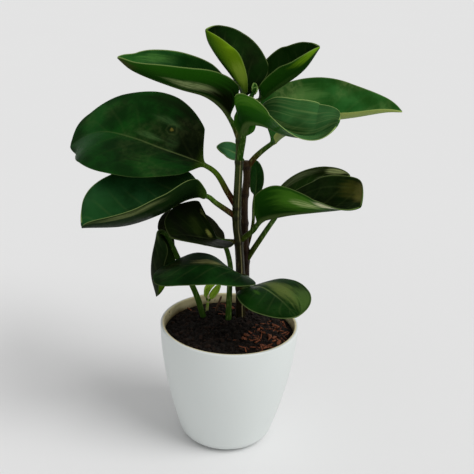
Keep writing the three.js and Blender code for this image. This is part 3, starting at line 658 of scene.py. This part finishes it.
def bark_material(name, bark, green, ridge=0.0):
    """A stem: brown bark that turns green towards the top, streaked along it, darker at the leaf joints.

    ridge is the strength of a painted highlight, a pale line along it on the side towards the viewer and the
    key light, where the attribute "ridge" comes near 1.
    """
    s = Shader(name)
    streak = s.noise(s.place((1, 1, 0.12)), 1100, 3, 0.65)
    patch = s.noise(s.place((1, 1, 0.4)), 160, 3, 0.5)
    base = s.mix(s.band(s.value("along"), 0.25, 1.05), bark, green)
    base = s.mix(s.band(patch, 0.45, 0.65, 0, 0.5), base, shade(bark, 0.5))
    base = s.mix(s.band(streak, 0.52, 0.75, 0, 0.3), base, linear("#6f6836"))
    # Painted highlight: a pale line along the stem's side that faces the viewer and the key light.
    highlight_line = s.value("ridge") + (patch - 0.5) * 0.02
    base = s.mix(s.band(highlight_line, 0.988, 0.997, 0, ridge), base, linear("#a8a070"))
    base = s.mix(s.band(s.value("joint"), 0.4, 1, 0, 0.6), base, linear("#140c06"))
    return s.finish(base_color=base, roughness=s.band(patch, 0.3, 0.7, 0.4, 0.6), specular_IOR_level=0.15,
                    normal=s.bump(streak + patch, 0.5 * MM, 0.7))


def pot_material():
    """Satin glaze, a little uneven with a few specks, and a cream inside stained by soil near the bed.

    The inside's cream is painted shade and warm bounce light.
    """
    pot, soil = settings("pot"), settings("soil")
    s = Shader("satin_glaze")
    space = s.place()
    broad = s.noise(s.place((1, 1, 0.35)), 28, 3)
    glaze = s.mix(s.band(broad, 0.3, 0.7, 0, 0.1), pot.glaze, linear("#c9cfcb"))
    cell = s.node("TexVoronoi", "Distance", {"Vector": space, "Scale": 42})
    spot = s.band(cell, 0.03, 0.015) * s.band(s.noise(space, 19, 0), 0.66, 0.68)
    glaze = s.mix(spot * 0.6, glaze, linear("#6a6a60"))
    smear = s.noise(s.place((1, 1, 0.7)), 90, 4, 0.6)
    line = s.value("height") - (smear - 0.5) * 9
    bed = soil.edge / MM
    # The inside wall's cream is painted shade and warm bounce light; the soil's stains lie over it.
    inner = s.mix(s.band(line, bed + 5.5, bed - 1, 0, 0.9), pot.inside, pot.dirt)
    inner = s.mix(s.band(s.noise(space, 60, 4, 0.7), 0.5, 0.7, 0, 0.45), inner, pot.dirt)
    inner = s.mix(s.band(s.noise(space, 240, 2, 0.5), 0.69, 0.72, 0, 0.9), inner, soil.soil)
    base = s.mix(s.band(s.value("inside"), 0.4, 0.6), glaze, inner)
    return s.finish(base_color=base, roughness=s.band(broad, 0.3, 0.7, 0.38, 0.46), specular_IOR_level=0.35,
                    normal=s.bump(broad + s.noise(space, 380, 2) * 0.06, 0.4 * MM, 0.35))


def soil_material():
    """Moist crumbly soil: dark grains with a few lighter fibres."""
    soil = settings("soil")
    s = Shader("moist_soil")
    space = s.place()
    grains = s.noise(space, 620, 5, 0.7)
    clumps = s.noise(space, 120, 3, 0.6)
    base = s.mix(s.band(grains, 0.42, 0.68), shade(soil.soil, 0.6), soil.soil)
    base = s.mix(s.band(clumps, 0.52, 0.7, 0, 0.5), base, soil.crumb)
    return s.finish(base_color=base, roughness=0.85, specular_IOR_level=0.2,
                    normal=s.bump(grains + clumps * 2, 1.2 * MM))


def crumb_material():
    """Loose crumbs, each with its own share of the lighter brown."""
    soil = settings("soil")
    s = Shader("soil_crumbs")
    grains = s.noise(s.place(), 900, 4, 0.7)
    base = s.mix(s.value("tint"), soil.soil, soil.crumb)
    base = s.mix(s.band(grains, 0.4, 0.7, 0, 0.6), base, shade(soil.soil, 0.5))
    return s.finish(base_color=base, roughness=0.85, specular_IOR_level=0.25,
                    normal=s.bump(grains, 0.6 * MM))


def chip_material():
    """Bark chips: reddish wood, each chip darker or lighter at random, with pale and dark fibres."""
    soil = settings("soil")
    s = Shader("bark_chips")
    fibres = s.noise(s.place((1, 0.2, 1)), 1200, 3, 0.7)
    base = s.mix(s.value("tint"), shade(soil.bark, 0.45), soil.bark)
    base = s.mix(s.band(fibres, 0.45, 0.7, 0, 0.6), base, linear("#a0673f"))
    base = s.mix(s.band(fibres, 0.5, 0.3, 0, 0.7), base, linear("#20120b"))
    return s.finish(base_color=base, roughness=0.7, specular_IOR_level=0.3,
                    normal=s.bump(fibres, 0.6 * MM, 0.9))


def leaf_grid(leaf, steps, columns):
    """A leaf's closed shell.

    The spine is a smooth curve. At the share s of it, t is the share of the blade, "right" is the tangent
    times "up", and v runs from -1 at one margin to 1 at the other. Half the blade's width there is width / 2
    times (t / widest)^rise ((1 - t) / (1 - widest))^blunt, with rise so that it is highest at "widest"; lean
    moves that place towards the tip on one half and the base on the other, and over the share neck the blade
    widens from its stalk. Each half leaves the spine at the angle "fold" and bends on by the angle "curl", a
    circular arc as long as the half is wide; "side" is added to the fold of one half and taken off the
    other's. The upper and lower side lie off that middle surface by the stalk's radius times the root of
    1 - v^2, a round rod, and over the blade's first fifth that turns into half the blade's thickness times
    the root of 1 - v^6. The stalk's radius falls by a quarter up to the blade, and it lives on as a rib
    under it. Rib and groove are bell-shaped across the midrib, and the margins wave up and down 3.5 times.
    """
    plant = settings("plant")
    blade = leaf["blade"]
    thickness, rib_reach, groove_reach = (x / MM for x in (plant.half_blade, plant.rib, plant.groove_reach))
    stalk_shares = blade * np.arange(STALK_RINGS) / STALK_RINGS
    blade_shares = blade + (1 - blade) * (1 - np.cos(np.pi * np.arange(steps) / steps)) / 2
    s = np.concatenate([stalk_shares, blade_shares])
    v = np.sin(np.linspace(-0.5, 0.5, columns) * np.pi)
    t = np.clip((s - blade) / (1 - blade), 0, 1)
    centre, along = curve_through(leaf["spine"], s)
    up = between(unit(np.array(leaf["up"], float)), t)
    up = unit(up - np.sum(up * along, 1)[:, None] * along)
    right = np.cross(along, up)
    radius = leaf["stalk"] * np.maximum(0.25, 1 - 0.25 * s / blade)
    sign = np.sign(v)[None]
    crest = leaf["widest"] - leaf["lean"] * sign
    rise = leaf["blunt"] * crest / (1 - crest)
    tt = t[:, None]
    outline = (tt / crest) ** rise * ((1 - tt) / (1 - crest)) ** leaf["blunt"] * smooth(tt, 0, leaf["neck"])
    base = (radius * (1 - smooth(t, 0, 0.25)))[:, None]
    reach = np.hypot(leaf["width"] / 2 * outline, base) + plant.tip / MM
    fold = np.radians(between(leaf["fold"], t)[:, None] + leaf["side"] * sign) * smooth(tt, 0, 0.1)
    curl = np.radians(between(leaf["curl"], t))[:, None] + 1e-4  # never quite flat, for the division below
    outer = fold + curl * np.abs(v)
    aside = (np.sin(outer) - np.sin(fold)) / curl * reach * sign
    above = (np.cos(fold) - np.cos(outer)) / curl * reach
    middle = centre[:, None] + aside[..., None] * right[:, None] + above[..., None] * up[:, None]
    normal = unit(np.cross(np.gradient(middle, axis=1), np.gradient(middle, axis=0)))
    flat = smooth(tt, 0, 0.2)
    half = (1 - flat) * radius[:, None] * np.sqrt(1 - v ** 2) + flat * thickness * np.sqrt(1 - v ** 6)
    offset = v * reach
    rib = radius[:, None] * (1 - tt) ** 0.7 * flat * np.exp(-(offset / rib_reach) ** 2)
    groove = plant.groove / MM * flat * (1 - tt) ** 0.5 * np.exp(-(offset / groove_reach) ** 2)
    waves = smooth(tt, 0.1, 0.4) * smooth(tt, 1, 0.85) * v ** 2 * np.sin(7 * tt * np.pi + 2 * sign)
    ripple = plant.ripple / MM * waves
    top = middle + (half - groove + ripple)[..., None] * normal
    bottom = middle - (half + rib - ripple)[..., None] * normal
    rings = np.concatenate([bottom, top[:, -2:0:-1]], axis=1)

    def on_rings(low, high=None):
        """A value of the lower side, then of the upper one, as the rings run; one alone holds for both."""
        low = np.broadcast_to(low, offset.shape)
        high = low if high is None else np.broadcast_to(high, offset.shape)
        return np.concatenate([low, high[:, -2:0:-1]], axis=1)

    position = np.where(tt > 0, tt, (s[:, None] - blade) / blade)
    side = np.zeros(columns)
    side[[0, -1]] = 0.5
    start, end = curve_through(leaf["spine"], [0, 1])[0]
    return shell(rings, start, end, along=on_rings(position), across=on_rings(v), reach=on_rings(reach),
                 upper=on_rings(side, 1 - side))


def rod_grid(path, radius, joints=(), sides=48, spacing=0.8):
    """A round rod along a path, closed by a dome 0.4 of its radius high.

    Its radius is a line or parabola through the given values, plus a bell-shaped swelling at each joint's
    height, times long shallow ridges, 1 + 0.03 sin(5 angle + 0.8 s) + 0.02 sin(9 angle + 2), where s is the
    share of the way. "ridge" is the cosine of the angle from the line of the painted highlight, the pale
    line on the side towards the viewer and the key light.
    """
    plant = settings("plant")
    total = np.sum(np.linalg.norm(np.diff(np.array(path, float), axis=0), axis=1))
    s = np.linspace(0, 1, max(int(total / spacing), 12))
    centre, along = curve_through(path, s)
    first = np.tile([1.0, 0, 0], (len(s), 1))
    first = unit(first - np.sum(first * along, 1)[:, None] * along)
    second = np.cross(along, first)
    reach = plant.joint_reach / MM
    swell = sum((np.exp(-((centre[:, 2] - joint) / reach) ** 2) for joint in joints), np.zeros(len(s)))
    r = between(radius, s) + plant.bulge / MM * swell
    angle = np.linspace(0, 2 * np.pi, sides, endpoint=False)
    ridge = 1 + 0.03 * np.sin(5 * angle + 0.8 * s[:, None]) + 0.02 * np.sin(9 * angle + 2)
    around = np.cos(angle)[None, :, None] * first[:, None] + np.sin(angle)[None, :, None] * second[:, None]
    rings = centre[:, None] + (r[:, None] * ridge)[..., None] * around
    climb = np.arange(1, ROUND_STEPS)[:, None, None] / ROUND_STEPS
    peak = 0.4 * r[-1] * along[-1]
    dome = centre[-1] + climb * peak + r[-1] * np.sqrt(1 - climb ** 2) * ridge[-1][:, None] * around[-1]
    rings = np.concatenate([rings, dome])
    share_along = np.append(s, np.ones(len(dome)))[:, None] * np.ones(sides)
    joint = np.append(swell, np.zeros(len(dome)))[:, None] * np.ones(sides)
    highlight_facing = np.cos(angle - np.radians(PAINTED_HIGHLIGHT_TURN)) * np.ones((len(rings), 1))
    return shell(rings, centre[0], centre[-1] + peak, along=share_along, joint=joint, ridge=highlight_facing)


def foot_inset(height):
    """How far the foot's rounding, a quarter circle, pulls the wall in at a height above its flat."""
    radius = settings("pot").foot_round / MM
    part = np.clip(height / radius, 0, 1)
    return radius * (1 - np.sqrt(1 - (1 - part) ** 2))


def wall_radius(z):
    """The wall's outer radius before the foot's rounding: rim (1 - (1 - base) (1 - z / height)^flare)."""
    pot = settings("pot")
    part = np.clip(1 - z / (pot.height / MM), 0, 1)
    return pot.rim_radius / MM * (1 - (1 - pot.base_ratio) * part ** pot.flare)


def inner_radius(z):
    """The wall's inner radius: its outer one less the lip, rounded at the bottom as the foot is."""
    pot = settings("pot")
    return wall_radius(z) - pot.lip / MM - foot_inset(z - pot.floor / MM)


def turned(profile, sides, **values):
    """A surface of revolution: the profile of radii and heights, carried round the vertical axis."""
    angle = np.linspace(0, 2 * np.pi, sides, endpoint=False)
    radius, height = profile[:, 0, None], profile[:, 1, None]
    rings = np.stack([radius * np.cos(angle), radius * np.sin(angle), height + 0 * angle], -1)
    spread = {name: np.repeat(value, sides) for name, value in values.items()}
    return shell(rings, (0, 0, profile[0, 1]), (0, 0, profile[-1, 1]), **spread)


def pot_shell():
    """The pot: its profile runs from the underside up the outside, over the round lip and down inside."""
    pot = settings("pot")
    sizes = pot.rim_radius, pot.height, pot.lip, pot.lip_round, pot.floor, pot.foot_round
    rim, top, lip, edge, floor, curb = (x / MM for x in sizes)
    foot = wall_radius(0) - foot_inset(0)
    heights = np.concatenate([curb * (1 - np.cos(np.linspace(0, np.pi / 2, 24)[1:])),
                              np.linspace(curb, top - edge, WALL_RINGS)[1:]])
    outside = np.stack([wall_radius(heights) - foot_inset(heights), heights], 1)
    angle = np.linspace(0, np.pi / 2, ROUND_STEPS)[1:]
    lip_outer = np.stack([rim - edge + edge * np.cos(angle), top - edge + edge * np.sin(angle)], 1)
    lip_inner = np.stack([2 * rim - lip - lip_outer[::-1, 0], lip_outer[::-1, 1]], 1)
    depths = np.linspace(top - edge, floor, WALL_RINGS)
    inside = np.stack([inner_radius(depths), depths], 1)
    flat = np.stack([foot * np.array([0.05, 0.4, 0.8, 0.97, 1.0]), np.zeros(5)], 1)
    bottom = np.stack([inside[-1, 0] * np.array([0.97, 0.8, 0.4, 0.05]), np.full(4, floor)], 1)
    outer, inner = np.vstack([flat, outside, lip_outer]), np.vstack([lip_inner, inside, bottom])
    profile = np.vstack([outer, inner])
    return turned(profile, POT_SIDES, inside=[0.0] * len(outer) + [1.0] * len(inner), height=profile[:, 1])


def soil_height(x, y):
    """The soil's surface: the edge's height, a bell-shaped mound round the stems, and low waves.

    The waves are 0.7 (sin(0.71 x + 1.3) sin(0.83 y) + 0.6 sin(0.37 x - 0.59 y + 2)) and end at the wall.
    """
    soil = settings("soil")
    part = np.hypot(x, y) / inner_radius(soil.edge / MM)
    mound = np.exp(-((x - MOUND_AT[0]) / MOUND_REACH[0]) ** 2 - ((y - MOUND_AT[1]) / MOUND_REACH[1]) ** 2)
    waves = np.sin(0.71 * x + 1.3) * np.sin(0.83 * y) + 0.6 * np.sin(0.37 * x - 0.59 * y + 2)
    return (soil.edge + soil.rise * mound) / MM + 0.7 * waves * smooth((1 - part) / 0.15)


def soil_shell():
    """The bed of soil: a floor, a side along the pot's inner wall, and a top with waves and random lumps."""
    soil, pot = settings("soil"), settings("pot")
    gap, foot, level = (x / MM for x in (soil.gap, pot.floor + soil.gap, soil.edge))
    heights = np.linspace(foot + 2, level, 30)
    side = np.stack([inner_radius(heights) - gap, heights], 1)
    edge = side[-1, 0]
    base = np.stack([(inner_radius(foot + 2) - 3 * gap) * np.array([0.1, 0.5, 0.95]), np.full(3, foot)], 1)
    across = edge * np.linspace(1, 0, SOIL_RINGS)[1:-1]
    surface = np.stack([across, np.full(len(across), level)], 1)
    bed = turned(np.vstack([base, side, surface]), SOIL_SIDES)
    x, y, z = bed["points"].T
    on_top = z > level - 0.01
    fade = smooth(1 - np.hypot(x, y) / edge, 0, 0.04)
    lumps = 0.8 * grain(x, y, 3.1, 1) + 0.5 * grain(y, x, 1.7, 2) + 0.25 * grain(x, y, 0.9, 3)
    bed["points"][on_top, 2] = (soil_height(x, y) + lumps * fade)[on_top]
    return bed


def scattered(count, distances, seed, angles=None):
    """Random places on the soil between two distances from the middle, all round or at given angles.

    The distance's square is drawn evenly, so that the places lie evenly over the area.
    """
    random = np.random.default_rng(seed)
    turn = angles(random, count) if angles else random.uniform(0, 2 * np.pi, count)
    near, far = distances
    distance = np.sqrt(random.uniform(near ** 2, far ** 2, count))
    return distance * np.cos(turn), distance * np.sin(turn), random


def ball_rings(rows, sides):
    """A unit sphere's points on rings about the z axis, without its poles."""
    polar = np.pi * np.arange(1, rows + 1)[:, None] / (rows + 1)
    turn = 2 * np.pi * np.arange(sides) / sides
    across = np.sin(polar)
    return np.stack([across * np.cos(turn), across * np.sin(turn), np.cos(polar) + 0 * turn], -1)


def lumps_shell(places, radii, squash, rough, random):
    """Small lumps, a shell each: a sphere of 5 x 8 points and its poles, pushed in and out and turned."""
    rows, sides = 5, 8
    ball = ball_rings(rows, sides)
    lumps = []
    for place, radius in zip(places, radii):
        shape = ball * (1 + rough * random.uniform(-1, 1, (rows, sides, 1))) * squash
        tilt = 0.9 * unit(random.normal(size=3) * (0.35, 0.35, 1))[0]
        turn = Matrix.Rotation(random.uniform(0, 6.28), 3, "Z")
        spin = np.array(turn @ Matrix.Rotation(tilt, 3, "X"))
        tint = random.uniform() ** 2
        ends = [spin @ (np.array([0, 0, h]) * squash) * radius + place for h in (1, -1)]
        lumps.append(shell(shape @ spin.T * radius + place, *ends, tint=np.full((rows, sides), tint)))
    return lumps


def chip_grid(place, size, random):
    """A ragged bark chip, tilted a little: |x|^4 + |y|^4 + |z|^4 = 1 in its own sizes, poles along x."""
    rows, sides = 7, 12
    ball = np.roll(ball_rings(rows, sides), 1, axis=-1)
    ball = ball / np.sum(ball ** 4, -1, keepdims=True) ** 0.25
    ragged = ball * (1 + 0.16 * random.uniform(-1, 1, (rows, sides, 1))) * size / 2
    turns = [Matrix.Rotation(random.uniform(*limits), 3, axis)
             for axis, limits in (("Z", (0, np.pi)), ("Y", (-0.5, 0.5)), ("X", (-0.5, 0.5)))]
    spin = np.array(turns[0] @ turns[1] @ turns[2])
    ends = [spin @ np.array([x * size[0] / 2, 0, 0]) + place for x in (1, -1)]
    tint = np.full((rows, sides), random.uniform())
    return shell(ragged @ spin.T + place, *ends, tint=tint)


def chip_turns(random, count):
    """Random angles about the pot's middle: most lie at the right, from front to back, the rest behind."""
    right = random.uniform(size=count) < RIGHT_SHARE
    return np.where(right, random.uniform(-1.25, 0.5, count), random.uniform(1.2, 2.4, count))


class PEPEROMIA_OT_pot(bpy.types.Operator):
    """Makes the white pot"""
    bl_idname = "peperomia.pot"
    bl_label = "Pot"

    def execute(self, context):
        build("pot_glazed", pot_shell(), pot_material(), "pot")
        return {"FINISHED"}


class PEPEROMIA_OT_soil(bpy.types.Operator):
    """Fills the pot with soil, loose crumbs and bark chips"""
    bl_idname = "peperomia.soil"
    bl_label = "Soil"

    def execute(self, context):
        soil = settings("soil")
        edge = float(inner_radius(soil.edge / MM)) - soil.gap / MM
        build("soil_bed", soil_shell(), soil_material(), "soil")
        x, y, random = scattered(soil.crumbs, distances=(0, edge - 2.5), seed=11)
        radii = random.uniform(0.45, 1, soil.crumbs) ** 3 * CRUMB_RADIUS
        places = np.stack([x, y, soil_height(x, y) + 0.15 * radii], 1)
        crumbs = lumps_shell(places, radii, squash=(1, 0.85, 0.7), rough=0.22, random=random)
        build("soil_crumbs", crumbs, crumb_material(), "soil")
        x, y, random = scattered(soil.chips, distances=(14, edge - 4), seed=5, angles=chip_turns)
        places = np.stack([x, y, soil_height(x, y) + 0.3], 1)
        chips = []
        for place in places:
            size = np.array(CHIP_SIZE if random.uniform() < CHIP_SHARE else FIBRE_SIZE)
            chips.append(chip_grid(place, size * random.uniform(0.5, 1), random))
        build("soil_bark_chips", chips, chip_material(), "soil")
        return {"FINISHED"}


class PEPEROMIA_OT_stems(bpy.types.Operator):
    """Makes the two stems and the dry twig"""
    bl_idname = "peperomia.stems"
    bl_label = "Stems"

    def execute(self, context):
        plant = settings("plant")
        # The last number in each row is the strength of the painted highlight along the stem.
        looks = {"stem_main": (plant.bark, linear("#33480f"), "stem_olive", 0.5),
                 "stem_side": (plant.red_bark, linear("#33240e"), "stem_red", 0)}
        for name, stem in STEMS.items():
            bark, green, slot, ridge = looks[name]
            grid = rod_grid(stem["path"], stem["radius"], stem["joints"])
            build(name + "_bark", grid, bark_material(name + "_bark", bark, green, ridge), name)
        twig = rod_grid(TWIG["foot"], TWIG["radius"], sides=20, spacing=0.5)
        bark = bark_material("twig_bark", linear("#5a4334"), linear("#6a5040"))
        build("twig_dry_bark", twig, bark, "twig_dry")
        return {"FINISHED"}


class PEPEROMIA_OT_leaves(bpy.types.Operator):
    """Makes the sixteen leaves with their stalks"""
    bl_idname = "peperomia.leaves"
    bl_label = "Leaves"

    def execute(self, context):
        plant = settings("plant")
        for name, row in LEAVES.items():
            leaf = {"stalk": plant.stalk / MM, **LEAF_SHAPE, **row}
            look = {**LOOK_DEFAULTS, **LOOKS[name]}
            fewer = (3, 2) if leaf["width"] < SMALL_LEAF else (1, 1)
            grid = leaf_grid(leaf, plant.steps // fewer[0], plant.columns // fewer[1])
            build(name + "_blade", grid, leaf_material(name + "_skin", look), name)
        return {"FINISHED"}


class PEPEROMIA_OT_growth(bpy.types.Operator):
    """Makes the bud at the top and the sprout in the soil"""
    bl_idname = "peperomia.growth"
    bl_label = "Bud and sprout"

    def execute(self, context):
        for name, row in GROWTH.items():
            leaf = {**LEAF_SHAPE, **LEAFLET, **row}
            look = {**LOOK_DEFAULTS, **row, "rim": 0.6, "rib": 0.3}
            shells = [leaf_grid({**leaf, "spine": spine, "up": [up, up]}, LEAFLET_STEPS, LEAFLET_COLUMNS)
                      for spine, up in zip(row["leaflets"], row["up"])]
            build(name + "_leaflets", shells, leaf_material(name + "_skin", look), name)
            foot = rod_grid(row["foot"], row["radius"], sides=20, spacing=0.5)
            bark = bark_material(name + "_foot", linear(row["root"]), linear(row["lower"][0]))
            build(name + "_foot", foot, bark, name)
        return {"FINISHED"}


class PEPEROMIA_OT_stage(bpy.types.Operator):
    """Makes the studio: floor, light and camera"""
    bl_idname = "peperomia.stage"
    bl_label = "Stage"

    def execute(self, context):
        stage = settings("stage")
        scene = context.scene
        mesh = bpy.data.meshes.new("studio_floor")
        corners = [(x * FLOOR_REACH, y * FLOOR_REACH, 0) for x, y in ((-1, -1), (1, -1), (1, 1), (-1, 1))]
        mesh.from_pydata(corners, [], [(0, 1, 2, 3)])
        s = Shader("studio_floor")
        paint = s.mix(s.band(s.noise(s.place(), 3, 2), 0.3, 0.7, 0, 0.03), stage.floor, (0.7, 0.7, 0.7))
        mesh.materials.append(s.finish(base_color=paint, roughness=0.9, specular_IOR_level=0))
        floor = bpy.data.objects.new("studio_floor", mesh)
        scene.collection.objects.link(floor)

        world = bpy.data.worlds.new("studio_light")
        world.use_nodes = True
        background = world.node_tree.nodes["Background"]
        background.inputs["Color"].default_value = (1, 1, 1, 1)
        background.inputs["Strength"].default_value = stage.sky
        scene.world = world
        lamp = bpy.data.lights.new("key_light", "SUN")
        lamp.energy = stage.key
        lamp.angle = stage.softness
        key = bpy.data.objects.new("key_light", lamp)
        key.matrix_world = aim(azimuth=62, elevation=48)
        scene.collection.objects.link(key)

        lens = bpy.data.cameras.new("camera")
        lens.sensor_width = SENSOR
        lens.lens = SENSOR * FOCAL_LENGTH / FRAME_SIDE
        camera = bpy.data.objects.new("camera", lens)
        camera.matrix_world = photograph_view()
        scene.collection.objects.link(camera)
        scene.camera = camera
        scene.view_settings.view_transform = "Standard"
        scene.view_settings.look = "None"
        return {"FINISHED"}


def matrix_from(*columns):
    """A matrix from its three axes and, if given, its place."""
    matrix = Matrix.Identity(4)
    for i, column in enumerate(columns):
        matrix.col[i][:3] = column
    return matrix


def aim(azimuth, elevation):
    """A lamp's matrix for light that comes from azimuth degrees right of the viewer and from above."""
    a, e = math.radians(azimuth), math.radians(elevation)
    back = np.array([math.sin(a) * math.cos(e), -math.cos(a) * math.cos(e), math.sin(e)])
    right = unit(np.cross([0, 0, 1], back))
    up = np.cross(back, right)
    return matrix_from(right, up, back)


def photograph_view(place=(0, -534.1, 364.3), yaw=0.3, pitch=21.2, roll=2.44):
    """The camera's matrix: it looks down by pitch degrees, turned by yaw about the vertical and by roll."""
    y, p, r = (math.radians(x) for x in (yaw, pitch, roll))
    ahead = np.array([math.sin(y) * math.cos(p), math.cos(y) * math.cos(p), -math.sin(p)])
    right = np.array([math.cos(y), -math.sin(y), 0])
    up = np.cross(right, ahead)
    turned_right = math.cos(r) * right + math.sin(r) * up
    turned_up = math.cos(r) * up - math.sin(r) * right
    return matrix_from(turned_right, turned_up, -ahead, np.array(place) * MM)


STEPS = (PEPEROMIA_OT_pot, PEPEROMIA_OT_soil, PEPEROMIA_OT_stems, PEPEROMIA_OT_leaves, PEPEROMIA_OT_growth,
         PEPEROMIA_OT_stage)


class PEPEROMIA_PT_panel(bpy.types.Panel):
    """Lists the steps and the sizes of the potted peperomia"""
    bl_idname = "PEPEROMIA_PT_panel"
    bl_label = "Potted Peperomia"
    bl_space_type = "VIEW_3D"
    bl_region_type = "UI"
    bl_category = "Peperomia"

    def draw(self, context):
        for step in STEPS:
            self.layout.operator(step.bl_idname)
        for name, group in SETTINGS.items():
            box = self.layout.box()
            box.label(text=name.capitalize())
            for key in group.__annotations__:
                box.prop(settings(name), key)


def register():
    for cls in (*SETTINGS.values(), *STEPS, PEPEROMIA_PT_panel):
        bpy.utils.register_class(cls)
    for name, group in SETTINGS.items():
        setattr(bpy.types.Scene, "peperomia_" + name, bpy.props.PointerProperty(type=group))


def unregister():
    for name in SETTINGS:
        delattr(bpy.types.Scene, "peperomia_" + name)
    for cls in reversed((*SETTINGS.values(), *STEPS, PEPEROMIA_PT_panel)):
        bpy.utils.unregister_class(cls)


def main():
    """Makes every piece and the studio."""
    register()
    for step in STEPS:
        group, name = step.bl_idname.split(".")
        getattr(getattr(bpy.ops, group), name)()


if __name__ == "__main__":
    main()
